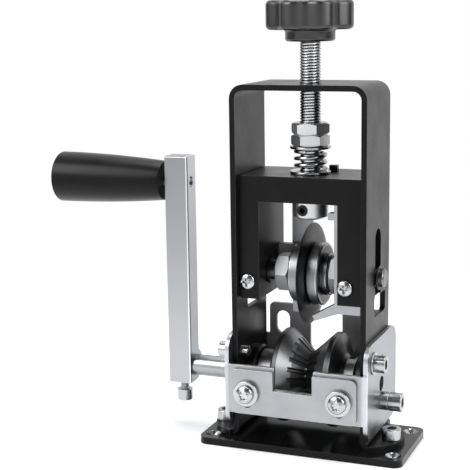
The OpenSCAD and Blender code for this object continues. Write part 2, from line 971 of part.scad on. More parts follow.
module rear_bar_block() {
    color("#3a3b3d")
    in_portal()
    box(bar_x - block_side, bar_x + bar_w / 2, bar_front - block_deep, bar_front,
        block_bottom, block_top);
}

// The blade on its axle

module blade_axle() {
    color("#9a9c9e")
    in_portal() translate([-axle_end, 0, blade_z]) rotate([0, 90, 0])
        ring(axle_d, 2 * axle_end, 0, axle_edge);
}

module cutting_blade() {
    color("#4a4b4d")
    in_portal() turned_x(0, blade_z)
        polygon([
            [axle_d / 2 + seat_fit, blade_left], [blade_d / 2 - blade_edge, blade_left],
            [blade_d / 2, cut_x - blade_edge_t / 2], [blade_d / 2, cut_x + blade_edge_t / 2],
            [blade_d / 2 - blade_edge, blade_right], [axle_d / 2 + seat_fit, blade_right]
        ]);
}

module on_axle(x) {
    in_portal() translate([x, 0, blade_z]) rotate([0, 90, 0]) children();
}

module left_blade_flange() {
    color("#8a8c8e")
    on_axle(left_flange_x) ring(left_flange_d, left_flange_t, axle_d + 2 * seat_fit, flange_edge);
}

module right_blade_flange() {
    flange_r = right_flange_d / 2;
    collar_r = right_collar_d / 2;
    bore_r = axle_d / 2 + seat_fit;
    top = right_flange_t + right_collar_t;
    color("#8a8c8e")
    on_axle(blade_right)
        rotate_extrude()
            polygon([
                [bore_r, 0], [flange_r - flange_edge, 0], [flange_r, flange_edge],
                [flange_r, right_flange_t - flange_edge], [flange_r - flange_edge, right_flange_t],
                [collar_r - flange_edge, right_flange_t], [collar_r, right_flange_t + flange_edge],
                [collar_r, top - flange_edge], [collar_r - flange_edge, top], [bore_r, top]
            ]);
}

module blade_nut_washer() {
    color("#3a3b3c")
    on_axle(stack_washer_x) ring(stack_washer_d, stack_washer_t, axle_d + 2 * seat_fit, washer_edge);
}

module left_blade_nut() {
    color("#c4c6c8")
    on_axle(left_nut_x) rotate(nut_turn) hex_nut(nut_af, left_nut_h, axle_d + 2 * seat_fit);
}

module right_blade_nut() {
    color("#c4c6c8")
    on_axle(right_collar_x) rotate(nut_turn) hex_nut(nut_af, right_nut_h, axle_d + 2 * seat_fit);
}

module axle_clips() {
    color("#2b2b2c")
    for (x = [-clip_x - clip_t, clip_x])
        on_axle(x) ring(clip_d, clip_t, axle_d + 2 * seat_fit, washer_edge);
}

// The adjuster and its spring

module lower_washer() {
    color("#c9cbcd")
    in_portal() translate([0, 0, low_washer_z])
        ring(washer_d, washer_t, rod_d + 2 * loose_fit, washer_edge);
}

module upper_washer() {
    color("#c9cbcd")
    in_portal() translate([0, 0, spring_high])
        ring(washer_d, washer_t, rod_d + 2 * loose_fit, washer_edge);
}

// the first and last rings lie level, as ground ends do
function coil_share(i) = min(1, max(0, (i - 1) / (coil_rings - 2)));
function coil_at(i) = [
    coil_r * cos(i * 360 / coil_steps),
    coil_r * sin(i * 360 / coil_steps),
    coil_low + coil_rise * coil_share(i)
];
function coil_point(i, j) =
    let (
        a = i * 360 / coil_steps,
        b = j * 360 / coil_sides,
        out = spring_wire / 2 * cos(b),
        up = spring_wire / 2 * sin(b)
    )
    coil_at(i) + [out * cos(a), out * sin(a), up];
coil_gap = min([
    for (i = [0 : coil_rings], k = [i + coil_steps / 2 : coil_rings])
        norm(coil_at(i) - coil_at(k))
]) - spring_wire;
echo(spring_self_gap = coil_gap);

module pressure_spring() {
    color("#d3d5d7")
    in_portal() polyhedron(
        points = [for (i = [0 : coil_rings], j = [0 : coil_sides - 1]) coil_point(i, j)],
        faces = concat(
            [for (i = [0 : coil_rings - 1], j = [0 : coil_sides - 1])
                let (a = i * coil_sides, b = a + coil_sides, k = (j + 1) % coil_sides)
                [a + j, b + j, b + k]],
            [for (i = [0 : coil_rings - 1], j = [0 : coil_sides - 1])
                let (a = i * coil_sides, b = a + coil_sides, k = (j + 1) % coil_sides)
                [a + j, b + k, a + k]],
            [for (j = [1 : coil_sides - 2]) [0, j, j + 1]],
            [for (j = [1 : coil_sides - 2])
                let (b = coil_rings * coil_sides) [b, b + j + 1, b + j]]
        )
    );
}

module spring_stop() {
    color("#2a2b2c")
    in_portal()
    box(stop_x, stop_x + stop_w, stop_y, stop_y + stop_d, yoke_top, yoke_top + stop_h);
}

module threaded_rod() {
    color("#a9abad")
    in_portal() translate([0, 0, rod_bottom])
        ring(rod_d, rod_top - rod_bottom, 0, axle_edge);
}

module lower_jam_nut() {
    color("#c4c6c8")
    in_portal() translate([0, 0, jam_low]) rotate(jam_turn_low)
        hex_nut(jam_af, jam_h, rod_d + 2 * seat_fit);
}

module upper_jam_nut() {
    color("#c4c6c8")
    in_portal() translate([0, 0, jam_mid]) rotate(jam_turn_high)
        hex_nut(jam_af, jam_h, rod_d + 2 * seat_fit);
}

module collar_screw_place() {
    in_portal() translate([0, 0, collar_low + collar_h / 2]) rotate(collar_screw_turn)
        rotate([90, 0, 0]) children();
}

module retaining_collar() {
    color("#b4b6b8")
    difference() {
        in_portal() translate([0, 0, collar_low])
            ring(collar_d, collar_h, rod_d + 2 * seat_fit, collar_edge);
        collar_screw_place() cylinder(h = collar_d, d = collar_screw_d + 2 * seat_fit);
    }
}

module collar_set_screw() {
    color("#202021")
    collar_screw_place() difference() {
        translate([0, 0, rod_d / 2 + seat_fit])
            cylinder(h = collar_d / 2 - rod_d / 2 + collar_screw_proud, d = collar_screw_d);
        translate([0, 0, collar_d / 2 + collar_screw_proud - collar_screw_hex])
            cylinder(h = collar_screw_hex + cut, r = collar_screw_hex / cos(30) / 2, $fn = 6);
    }
}

module star_knob() {
    color("#1a1a1b")
    in_portal() difference() {
        union() {
            translate([0, 0, hub_low])
                ring(knob_hub_d, knob_low - hub_low + knob_hub_edge, 0, knob_hub_edge);
            translate([0, 0, knob_low]) intersection() {
                linear_extrude(knob_h) {
                    circle(knob_core_r);
                    for (i = [0 : lobes - 1])
                        rotate(knob_turn + (i + 0.5) * 360 / lobes)
                            translate([knob_r - lobe_r, 0]) circle(lobe_r);
                }
                soft_disc(knob_r + knob_crown, knob_h, knob_edge);
            }
        }
        upright(hub_low - cut, rod_top, rod_d + 2 * seat_fit);
    }
}

module knob_cap() {
    color("#8c8e91")
    in_portal() translate([0, 0, knob_top])
        ring(cap_d, cap_t, 0, cap_edge);
}

base_plate();
portal_frame();
foot_screws();
guide_bracket();
bracket_screws();
bracket_washers();
side_lock_spacer();
side_lock_screw();
cable_gate();
gate_screws();
gate_washers();
rear_plate();
left_bearing();
right_bearing();
drive_shaft();
thrust_washer();
left_roller_half();
right_roller_half();
roller_set_screw();
crank_arm();
clamp_screw();
grip_stud();
grip();
carriage_yoke();
yoke_screws();
axle_bushes();
lower_washer();
pressure_spring();
upper_washer();
spring_stop();
jacket_plough();
rear_bar();
rear_bar_block();
blade_axle();
cutting_blade();
left_blade_flange();
right_blade_flange();
blade_nut_washer();
left_blade_nut();
right_blade_nut();
axle_clips();
threaded_rod();
lower_jam_nut();
upper_jam_nut();
retaining_collar();
collar_set_screw();
star_knob();
knob_cap();
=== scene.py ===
"""Looks for the hand crank wire stripper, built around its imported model.

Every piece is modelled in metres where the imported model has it, and rides on that node's body.
"""

import json
import math

import bmesh
import bpy
from bpy.props import FloatProperty, FloatVectorProperty, IntProperty, PointerProperty
from mathutils import Matrix, Vector


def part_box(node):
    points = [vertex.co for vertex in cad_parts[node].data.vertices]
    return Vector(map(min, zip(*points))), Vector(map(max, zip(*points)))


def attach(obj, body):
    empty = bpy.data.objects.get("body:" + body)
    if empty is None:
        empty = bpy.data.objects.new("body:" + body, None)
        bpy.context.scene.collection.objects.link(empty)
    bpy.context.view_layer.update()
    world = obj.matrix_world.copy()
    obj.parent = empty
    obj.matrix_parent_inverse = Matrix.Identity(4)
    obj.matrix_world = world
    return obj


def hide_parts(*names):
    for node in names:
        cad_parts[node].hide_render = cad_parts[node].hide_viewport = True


bl_info = {
    "name": "Hand crank wire stripper",
    "version": (1, 0, 0),
    "blender": (4, 5, 0),
    "location": "View3D > Sidebar > Stripper",
    "description": "Builds the finished pieces and the studio of a hand crank wire stripper",
    "category": "Object",
}

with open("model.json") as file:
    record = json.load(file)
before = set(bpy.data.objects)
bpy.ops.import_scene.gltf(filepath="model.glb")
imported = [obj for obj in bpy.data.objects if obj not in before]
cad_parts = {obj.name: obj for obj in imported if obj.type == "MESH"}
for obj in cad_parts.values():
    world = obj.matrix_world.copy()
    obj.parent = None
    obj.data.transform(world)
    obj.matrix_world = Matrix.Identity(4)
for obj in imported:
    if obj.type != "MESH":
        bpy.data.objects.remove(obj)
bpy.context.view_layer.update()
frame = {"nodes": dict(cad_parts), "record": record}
BODY_OF = {
    node: body
    for body, nodes in frame["record"]["behaviour"]["bodies"].items()
    for node in nodes
}
CORNER_HOLES = frame["record"]["mounts"][0]["dims"]

MM = 0.001
WHOLE_TURN = math.radians(360)
QUARTER_TURN = math.radians(90)
UP, DOWN = (0, 0, 1), (0, 0, -1)
LEFT, RIGHT = (-1, 0, 0), (1, 0, 0)
FRONT, BACK = (0, -1, 0), (0, 1, 0)


def centre(name):
    """The middle of a node's box."""
    low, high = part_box(name)
    return (low + high) / 2


def size(name):
    """The lengths of a node's box."""
    low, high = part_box(name)
    return high - low


# Properties


def length_property(name, description, default):
    """A length that a user can change."""
    return FloatProperty(name=name, description=description, default=default, unit="LENGTH")


def colour_property(name, description, default):
    """A colour that a user can change."""
    return FloatVectorProperty(name=name, description=description, default=default, subtype="COLOR")


class StripperSizes(bpy.types.PropertyGroup):
    edge: length_property("Edge radius", "Rounding of the sheet and block edges", 0.35 * MM)
    fine_edge: length_property(
        "Fine edge radius", "Rounding of the edges of small turned parts", 0.15 * MM
    )
    pitch: length_property("Thread pitch", "Pitch of the adjusting rod", 1.5 * MM)
    thread_depth: length_property("Thread depth", "Depth of the adjusting rod's thread", 0.7 * MM)
    thread_steps: IntProperty(
        name="Thread steps", description="Facets of one turn of the thread", default=32, min=12
    )
    turned_steps: IntProperty(
        name="Turned steps", description="Facets round a turned piece", default=96, min=24
    )


class StripperColours(bpy.types.PropertyGroup):
    paint: colour_property(
        "Black paint", "Colour of the frame, the base and the yoke", (0.005, 0.005, 0.0055)
    )
    zinc: colour_property("Zinc", "Colour of the plated sheet parts", (0.35, 0.355, 0.37))
    steel: colour_property(
        "Bright steel", "Colour of screws, nuts and washers", (0.52, 0.525, 0.535)
    )
    turned: colour_property(
        "Turned steel", "Colour of the shafts and the blade's flanges", (0.36, 0.365, 0.375)
    )
    # painted light: this lighter grey stands for the light that falls on the dark rear plate and the
    # rear bar's block
    dark: colour_property("Dark steel", "Colour of the rear plate", (0.26, 0.26, 0.265))
    # tool steel also colours the painted shade in the rod's thread root and on the roller
    tool: colour_property(
        "Tool steel", "Colour of the blade and the roller's teeth", (0.10, 0.101, 0.105)
    )
    bronze: colour_property("Bronze", "Colour of the blade axle's bushes", (0.06, 0.05, 0.035))
    plastic: colour_property(
        "Black plastic", "Colour of the grip and the knob", (0.006, 0.006, 0.0065)
    )
    cap: colour_property("Cap grey", "Colour of the knob's cap", (0.22, 0.23, 0.24))


def sizes():
    return bpy.context.scene.stripper_sizes


def colours():
    return bpy.context.scene.stripper_colours


# Shader groups


def node(tree, kind, **settings):
    """A new shader node of that kind with its settings and the plain values of its sockets."""
    made = tree.nodes.new("ShaderNode" + kind)
    for key, value in settings.items():
        if key in made.inputs:
            made.inputs[key].default_value = value
        else:
            setattr(made, key, value)
    return made


def link(tree, *pairs):
    """Joins the output in each pair to the input beside it."""
    for output, socket in pairs:
        tree.links.new(output, socket)


def new_group(name, floats, outputs):
    """A shader group with a vector input, float inputs and the outputs asked for."""
    group = bpy.data.node_groups.new(name, "ShaderNodeTree")
    group.interface.new_socket("Vector", in_out="INPUT", socket_type="NodeSocketVector")
    for label, value in floats.items():
        socket = group.interface.new_socket(label, in_out="INPUT", socket_type="NodeSocketFloat")
        socket.default_value = value
    for label in outputs:
        group.interface.new_socket(label, in_out="OUTPUT", socket_type="NodeSocketFloat")
    start = group.nodes.new("NodeGroupInput")
    end = group.nodes.new("NodeGroupOutput")
    return group, start.outputs, end.inputs


def grain_group():
    """Fine grain with slow clouds under it, such as paint or moulded plastic has."""
    group, given, result = new_group(
        "Fine grain", {"Grain scale": 1500.0, "Cloud scale": 60.0}, ["Grain", "Cloud"]
    )
    fine = node(group, "TexNoise", Detail=3.0, Roughness=0.6)
    slow = node(group, "TexNoise", Detail=4.0, Roughness=0.55)
    for noise, label in ((fine, "Grain"), (slow, "Cloud")):
        link(
            group,
            (given["Vector"], noise.inputs["Vector"]),
            (given[label + " scale"], noise.inputs["Scale"]),
            (noise.outputs["Fac"], result[label]),
        )
    return group


def brush_group():
    """Long fine scratches along X, with clouds of uneven polish."""
    group, given, result = new_group(
        "Brushed lines", {"Line scale": 2600.0, "Cloud scale": 45.0}, ["Lines", "Cloud"]
    )
    squeeze = node(group, "Mapping", Scale=(0.018, 1.0, 1.0))
    lines = node(group, "TexNoise", Detail=2.0, Roughness=0.7)
    slow = node(group, "TexNoise", Detail=4.0, Roughness=0.55)
    link(
        group,
        (given["Vector"], squeeze.inputs["Vector"]),
        (squeeze.outputs["Vector"], lines.inputs["Vector"]),
        (given["Line scale"], lines.inputs["Scale"]),
        (given["Vector"], slow.inputs["Vector"]),
        (given["Cloud scale"], slow.inputs["Scale"]),
        (lines.outputs["Fac"], result["Lines"]),
        (slow.outputs["Fac"], result["Cloud"]),
    )
    return group


def lathe_group():
    """Turning marks in rings about the X axis: rings by radius and rings along the axis."""
    group, given, result = new_group(
        "Turning marks", {"Ring scale": 1800.0}, ["Rings", "Radius", "Along"]
    )
    split = node(group, "SeparateXYZ")
    flat = node(group, "CombineXYZ")
    length = node(group, "VectorMath", operation="LENGTH")
    place = node(group, "CombineXYZ")
    rings = node(group, "TexNoise", Detail=3.0, Roughness=0.7)
    link(
        group,
        (given["Vector"], split.inputs["Vector"]),
        (split.outputs["Y"], flat.inputs["Y"]),
        (split.outputs["Z"], flat.inputs["Z"]),
        (flat.outputs["Vector"], length.inputs[0]),
        (length.outputs["Value"], place.inputs["X"]),
        (split.outputs["X"], place.inputs["Y"]),
        (place.outputs["Vector"], rings.inputs["Vector"]),
        (given["Ring scale"], rings.inputs["Scale"]),
        (rings.outputs["Fac"], result["Rings"]),
        (length.outputs["Value"], result["Radius"]),
        (split.outputs["X"], result["Along"]),
    )
    return group


def corner_group():
    """How far a point is from the nearest of four places, mirrored about both axes."""
    group, given, result = new_group(
        "Four corners", {"Reach X": 0.05, "Reach Y": 0.02}, ["Away", "Past X", "Past Y"]
    )
    split = node(group, "SeparateXYZ")
    place = node(group, "CombineXYZ")
    away = node(group, "VectorMath", operation="LENGTH")
    link(group, (given["Vector"], split.inputs["Vector"]))
    for axis in ("X", "Y"):
        mirrored = node(group, "Math", operation="ABSOLUTE")
        past = node(group, "Math", operation="SUBTRACT")
        link(
            group,
            (split.outputs[axis], mirrored.inputs[0]),
            (mirrored.outputs["Value"], past.inputs[0]),
            (given["Reach " + axis], past.inputs[1]),
            (past.outputs["Value"], place.inputs[axis]),
            (past.outputs["Value"], result["Past " + axis]),
        )
    link(
        group,
        (place.outputs["Vector"], away.inputs[0]),
        (away.outputs["Value"], result["Away"]),
    )
    return group


BUILDERS = {
    "grain": grain_group, "brush": brush_group, "lathe": lathe_group, "corners": corner_group
}
GROUPS = {}


def shared_group(name):
    """The shader group of that name, built on first use."""
    if name not in GROUPS:
        GROUPS[name] = BUILDERS[name]()
    return GROUPS[name]


# Materials


# noise lies mostly between these two values, so they are what a colour or a roughness spans
NOISE_LOW, NOISE_HIGH = 0.3, 0.7
# turns the X axis of a shader group upright
UPRIGHT = (0, -QUARTER_TURN, 0)
MATERIALS = {}


class Finish:
    """One material: a Principled shader fed by a shared group over mapped object coordinates."""

    def __init__(self, name, group, metallic, location=(0, 0, 0), rotation=(0, 0, 0)):
        self.material = bpy.data.materials.new(name)
        self.material.use_nodes = True
        self.tree = self.material.node_tree
        self.shader = self.tree.nodes["Principled BSDF"]
        self.shader.inputs["Metallic"].default_value = metallic
        self.group = self.placed(group, location, rotation)

    def placed(self, group, location, rotation=(0, 0, 0)):
        """A shared group over object coordinates taken from that place and turn."""
        coordinates = node(self.tree, "TexCoord")
        mapped = node(self.tree, "Mapping", vector_type="TEXTURE", Location=location, Rotation=rotation)
        made = node(self.tree, "Group", node_tree=shared_group(group))
        link(
            self.tree,
            (coordinates.outputs["Object"], mapped.inputs["Vector"]),
            (mapped.outputs["Vector"], made.inputs["Vector"]),
        )
        return made

    def corners(self, middle, reach_x, reach_y):
        """Outputs of the corners group, for places that far from the middle."""
        made = self.placed("corners", middle)
        made.inputs["Reach X"].default_value = reach_x
        made.inputs["Reach Y"].default_value = reach_y
        return made.outputs

    def ramp(self, output, low, high, start=NOISE_LOW, end=NOISE_HIGH):
        """The group's output spread between two values."""
        reach = {"From Min": start, "From Max": end, "To Min": low, "To Max": high}
        spread = node(self.tree, "MapRange", **reach)
        link(self.tree, (self.group.outputs[output], spread.inputs["Value"]))
        return spread.outputs["Result"]

    def math(self, operation, *values):
        """One Math node over the group's outputs, other sockets and plain numbers."""
        made = node(self.tree, "Math", operation=operation)
        for socket, value in zip(made.inputs, values):
            if isinstance(value, str):
                value = self.group.outputs[value]
            if isinstance(value, bpy.types.NodeSocket):
                link(self.tree, (value, socket))
            else:
                socket.default_value = value
        return made.outputs["Value"]

    def roughness(self, output, low, high):
        """Roughness that varies between two values by the group's output."""
        link(self.tree, (self.ramp(output, low, high), self.shader.inputs["Roughness"]))

    def colour(self, output, low, high, start=NOISE_LOW, end=NOISE_HIGH):
        """Base colour that goes from one colour to another by the group's output."""
        mix = node(self.tree, "Mix", data_type="RGBA", A=(*low, 1), B=(*high, 1))
        link(
            self.tree,
            (self.ramp(output, 0, 1, start, end), mix.inputs["Factor"]),
            (mix.outputs["Result"], self.shader.inputs["Base Color"]),
        )

    def swap(self, mask, other, label="Base Color"):
        """Where the mask is one, a socket takes the other value, a number or a colour."""
        socket = self.shader.inputs[label]
        tinted = label == "Base Color"
        mix = node(self.tree, "Mix", data_type="RGBA" if tinted else "FLOAT")
        if socket.is_linked:
            link(self.tree, (socket.links[0].from_socket, mix.inputs["A"]))
        else:
            mix.inputs["A"].default_value = socket.default_value
        mix.inputs["B"].default_value = (*other, 1) if tinted else other
        link(self.tree, (mask, mix.inputs["Factor"]), (mix.outputs["Result"], socket))

    def dim(self, share):
        """Tints reflections to a share: a paint's seen straight on, a metal's at grazing angles."""
        self.shader.inputs["Specular Tint"].default_value = (share, share, share, 1)

    def relief(self, output, depth):
        """Bump of that depth, in metres, from the group's output."""
        bump = node(self.tree, "Bump", Distance=depth, Strength=1.0)
        link(
            self.tree,
            (self.group.outputs[output], bump.inputs["Height"]),
            (bump.outputs["Normal"], self.shader.inputs["Normal"]),
        )


def shade(colour, factor):
    """The colour times a factor, never above one."""
    return tuple(min(1.0, c * factor) for c in colour)


def grained(name, colour, rough, front, scale, depth, darkest, lightest):
    """Paint or plastic with that grain, uneven in tone and gloss and dimmed straight on."""
    finish = Finish(name, "grain", 0.0)
    finish.group.inputs["Grain scale"].default_value = scale
    finish.dim(front)
    finish.roughness("Cloud", *rough)
    finish.colour("Cloud", shade(colour, darkest), shade(colour, lightest))
    finish.relief("Grain", depth)
    return finish


def painted(name, colour, rough, front=0.3):
    """Powder paint: faint orange peel and uneven gloss."""
    return grained(
        name, colour, rough, front, scale=1300.0, depth=0.006 * MM, darkest=0.85, lightest=1.2
    )


def plastic(name, colour, rough, front=1.0):
    """Moulded plastic with a fine grain."""
    return grained(
        name, colour, rough, front, scale=2200.0, depth=0.004 * MM, darkest=0.9, lightest=1.15
    )


def brushed(name, colour, rough):
    """Brushed or plated metal with fine lines along one direction."""
    finish = Finish(name, "brush", 1.0)
    finish.roughness("Lines", *rough)
    finish.colour("Cloud", shade(colour, 0.9), shade(colour, 1.08))
    finish.relief("Lines", 0.001 * MM)
    return finish


def turned(name, colour, rough, location, rotation=(0, 0, 0), spread=0.12):
    """Turned metal with marks in rings about an axis through location."""
    finish = Finish(name, "lathe", 1.0, location=location, rotation=rotation)
    finish.roughness("Rings", *rough)
    finish.colour("Rings", shade(colour, 1 - spread), shade(colour, 1 + spread))
    finish.relief("Rings", 0.001 * MM)
    return finish


def base_paint(name):
    """Glossier paint, with bare metal in the countersinks of the corner holes."""
    c = colours()
    sink = 4.15 * MM
    finish = painted(name, shade(c.paint, 0.8), (0.15, 0.2))
    reach = [CORNER_HOLES[key] * MM / 2 for key in ("spacing_x_mm", "spacing_y_mm")]
    holes = finish.corners((0, 0, 0), *reach)
    bare = finish.math("LESS_THAN", holes["Away"], sink)
    finish.swap(bare, c.steel)
    finish.swap(bare, 1.0, "Metallic")
    return finish


def arm_metal(name):
    """The crank arm: satin, with painted shade darkening its front upwards, painted shade and light on
    its inner side, and a painted highlight and a painted dark line along its right edges.
    """
    zinc = colours().zinc
    edge, skin = 0.6 * MM, 0.05 * MM
    line_in, line_half = 1.05 * MM, 0.65 * MM
    middle = centre("crank_arm")
    half = size("crank_arm") / 2
    finish = Finish(name, "lathe", 1.0, location=middle, rotation=UPRIGHT)
    finish.shader.inputs["Roughness"].default_value = 0.3
    # painted shade: the front darkens upwards
    finish.colour("Along", shade(zinc, 1.18), shade(zinc, 0.93), 0, half.z)

    # measured from the left side, so that only the edges on the right count
    inner = finish.corners(middle - Vector((half.x, 0, 0)), 2 * half.x, half.y)
    # painted highlight along the right edges
    rounded = finish.math("GREATER_THAN", inner["Past X"], -edge)
    finish.swap(rounded, shade(zinc, 2.6))
    # painted shade over the inner side, with painted light rising up it
    side = finish.math("GREATER_THAN", inner["Past X"], -skin)
    finish.swap(side, shade(zinc, 0.8))
    upper = finish.math("MULTIPLY", side, finish.ramp("Along", 0, 1, -half.z / 2, half.z))
    finish.swap(upper, shade(zinc, 1.6))
    # a painted dark line on the inner side, beside the painted highlight
    painted_dark_line = finish.math("COMPARE", inner["Past Y"], -line_in, line_half)
    finish.swap(finish.math("MULTIPLY", side, painted_dark_line), shade(zinc, 0.12))
    return finish


def bracket_metal(name):
    """The guide bracket: zinc, with a painted highlight where it bends round the frame."""
    zinc = colours().zinc
    bend_start, bend_full = 3.3 * MM, 1.8 * MM
    finish = brushed(name, zinc, (0.3, 0.4))
    half = size("guide_bracket") / 2
    back = centre("guide_bracket") + Vector((0, half.y, 0))
    corners = finish.corners(back, half.x, 2 * half.y)
    rate = 1 / (bend_start - bend_full)
    painted_bend_highlight = [
        finish.math("MULTIPLY_ADD", corners[label], rate, bend_start * rate)
        for label in ("Past X", "Past Y")
    ]
    # painted highlight along the bends
    finish.swap(finish.math("MINIMUM", *painted_bend_highlight), shade(zinc, 1.5))
    return finish


def thread_steel(name):
    """The adjusting rod: bright crests, with painted shade in the root of the thread."""
    c = colours()
    crest_depth = 0.5 * MM
    rod = centre("threaded_rod")
    finish = turned(name, shade(c.steel, 1.5), (0.24, 0.32), rod, UPRIGHT)
    finish.dim(0.1)
    # painted shade in the root of the thread
    root = finish.math("LESS_THAN", "Radius", size("threaded_rod").x / 2 - crest_depth)
    finish.swap(root, shade(c.tool, 0.8))
    return finish


def shaft_steel(name):
    """The drive shaft: satin, with painted shade on the end that shows in the bracket's hole."""
    c = colours()
    shaded_end_length = 1 * MM
    finish = turned(name, c.turned, (0.26, 0.34), centre("drive_shaft"))
    # painted shade on the end inside the bracket's hole
    end = finish.math("GREATER_THAN", "Along", size("drive_shaft").x / 2 - shaded_end_length)
    finish.swap(end, shade(c.paint, 2))
    return finish


def flange_steel(name):
    """The blade's flanges: brushed round the rim, with painted shade on their faces and in the middle.
    """
    c = colours()
    rim_width = 0.7 * MM
    finish = turned(name, shade(c.turned, 0.75), (0.32, 0.42), centre("blade_axle"), spread=0.2)
    # painted shade on the faces, standing for the dark frame that they reflect
    face = finish.math("LESS_THAN", "Radius", size("left_blade_flange").z / 2 - rim_width)
    finish.swap(face, shade(c.turned, 0.3))
    return finish


def blade_steel(name):
    """The blade: dark, with a lighter ground bevel."""
    c = colours()
    bevel_width = 6.5 * MM
    finish = turned(name, shade(c.tool, 0.25), (0.3, 0.4), centre("blade_axle"))
    bevel = finish.math("GREATER_THAN", "Radius", size("cutting_blade").z / 2 - bevel_width)
    finish.swap(bevel, shade(c.tool, 0.35))
    return finish


def roller_steel(name):
    """The roller: painted shade low in the groove, inside the cuts and on the rims, ground steel above.
    """
    c = colours()
    groove_radius, groove_half, slope = 14 * MM, 0.5 * MM, 12 / 12.8
    cut_depth, skin = 0.12 * MM, 0.05 * MM
    low_radius, cone_length = 19.6 * MM, 15.6 * MM
    middle = centre("left_roller_half")
    middle.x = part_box("left_roller_half")[1].x
    finish = turned(name, shade(c.turned, 0.65), (0.3, 0.4), middle)
    along = finish.math("ABSOLUTE", "Along")
    cone = finish.math("MULTIPLY_ADD", along, slope, groove_radius - groove_half * slope)
    depth = finish.math("SUBTRACT", cone, "Radius")
    cut = finish.math("GREATER_THAN", depth, cut_depth)
    low = finish.math("LESS_THAN", "Radius", low_radius)
    rim = finish.math("GREATER_THAN", "Radius", size("left_roller_half").z / 2 - skin)
    # painted shade low in the groove, inside the cuts and on the rims
    dark = finish.math("MAXIMUM", finish.math("MAXIMUM", cut, low), rim)
    finish.swap(dark, shade(c.tool, 0.8))
    behind = finish.math("GREATER_THAN", along, cone_length)
    finish.swap(behind, shade(c.tool, 2))
    return finish


def knob_plastic(name):
    """The knob: a denser and glossier plastic than the grip's."""
    finish = plastic(name, shade(colours().plastic, 1.1), (0.29, 0.36))
    finish.shader.inputs["IOR"].default_value = 1.7
    return finish


def finish_of(name):
    """A new finish of that name: its kind, its colour, how rough it is and what else it takes."""
    c = colours()
    axle = centre("blade_axle")
    recipes = {
        "black_paint": (painted, c.paint, (0.3, 0.4), 0.25),
        "base_paint": (base_paint,),
        # painted highlight: the rounded edges of the black parts take a lighter, glossier paint
        "worn_paint": (painted, shade(c.paint, 7), (0.22, 0.3), 0.8),
        # painted light: a lighter grey for the light that falls on the rear plate and the rear bar's
        # block
        "dark_steel": (painted, c.dark, (0.34, 0.46), 0.6),
        "black_oxide": (painted, shade(c.paint, 0.8), (0.26, 0.36), 0.6),
        "zinc": (brushed, c.zinc, (0.3, 0.4)),
        # painted highlight: the rounded edges of zinc parts take a much brighter zinc
        "zinc_edge": (brushed, shade(c.zinc, 2.6), (0.2, 0.28)),
        "arm_metal": (arm_metal,),
        "bracket_metal": (bracket_metal,),
        "bright_steel": (brushed, shade(c.steel, 0.9), (0.19, 0.26)),
        "nut_steel": (brushed, shade(c.steel, 0.8), (0.48, 0.56)),
        "jam_steel": (brushed, shade(c.steel, 1.4), (0.36, 0.44)),
        "thread_steel": (thread_steel,),
        "shaft_steel": (shaft_steel,),
        "axle_steel": (turned, shade(c.turned, 0.6), (0.24, 0.36), axle),
        "bronze": (turned, c.bronze, (0.3, 0.4), axle),
        "flange_steel": (flange_steel,),
        "blade_steel": (blade_steel,),
        "roller_steel": (roller_steel,),
        "grip_plastic": (plastic, shade(c.plastic, 0.7), (0.3, 0.38), 0.3),
        "knob_plastic": (knob_plastic,),
        "cap_plastic": (plastic, c.cap, (0.34, 0.42)),
    }
    kind, *values = recipes[name]
    return kind(name, *values)


def material(name):
    """The material of that name, made on first use."""
    if name not in MATERIALS:
        MATERIALS[name] = finish_of(name).material
    return MATERIALS[name]


# Shapes


# faces that meet at less than this angle are shaded as one surface
SOFT_ANGLE = math.radians(38)
SEAM = 0.0005 * MM


def object_from(bm, name):
    """A new object in the scene with the bmesh as its mesh."""
    mesh = bpy.data.meshes.new(name)
    bm.to_mesh(mesh)
    bm.free()
    made = bpy.data.objects.new(name, mesh)
    bpy.context.scene.collection.objects.link(made)
    return made


def finish_mesh(bm, name, like, *surfaces):
    """Turns a bmesh into a piece that stands for the node named like and rides on its body."""
    piece = object_from(bm, name)
    mesh = piece.data
    mesh.polygons.foreach_set("use_smooth", [True] * len(mesh.polygons))
    mesh.set_sharp_from_angle(angle=SOFT_ANGLE)
    for surface in surfaces:
        mesh.materials.append(material(surface))
    even = piece.modifiers.new("Even shading", "WEIGHTED_NORMAL")
    even.keep_sharp = True
    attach(piece, BODY_OF[like])
    return piece


def replace_node(bm, name, like, *surfaces):
    """Finishes a bmesh as the piece that takes the place of the node named like."""
    piece = finish_mesh(bm, name, like, *surfaces)
    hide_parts(like)


def replace_stack(name, like, surface, rings, place, steps=None):
    """A skin over rings that takes the place of the node named like."""
    bm = bmesh.new()
    add_stack(bm, steps or sizes().turned_steps, rings, place)
    closed(bm)
    replace_node(bm, name, like, surface)


def edged_copy(like, surface, width, segments=2, angle=32, rim=None):
    """A copy of a node's shape, merged into whole faces, its edges rounded and finished as rim."""
    bm = bmesh.new()
    bm.from_mesh(frame["nodes"][like].data)
    bmesh.ops.remove_doubles(bm, verts=bm.verts[:], dist=2 * SEAM)
    flat = math.radians(0.5)
    bmesh.ops.dissolve_limit(bm, angle_limit=flat, verts=bm.verts[:], edges=bm.edges[:])
    sharp = math.radians(angle)
    corners = [e for e in bm.edges if len(e.link_faces) == 2 and e.calc_face_angle(0) > sharp]
    rounded = bmesh.ops.bevel(
        bm, geom=corners, offset=width, offset_type="OFFSET", segments=segments,
        profile=0.5, affect="EDGES", clamp_overlap=True, material=-1,
    )
    for face in rounded["faces"]:
        face.material_index = 1
    replace_node(bm, like + "_finished", like, surface, rim or surface)


def round_at(radius):
    """The same radius all round."""
    return lambda angle: radius


def hexagon_at(across):
    """Radius of a hexagon of that width across its flats."""
    side = math.radians(60)
    return lambda angle: across / 2 / math.cos((angle % side) - side / 2)


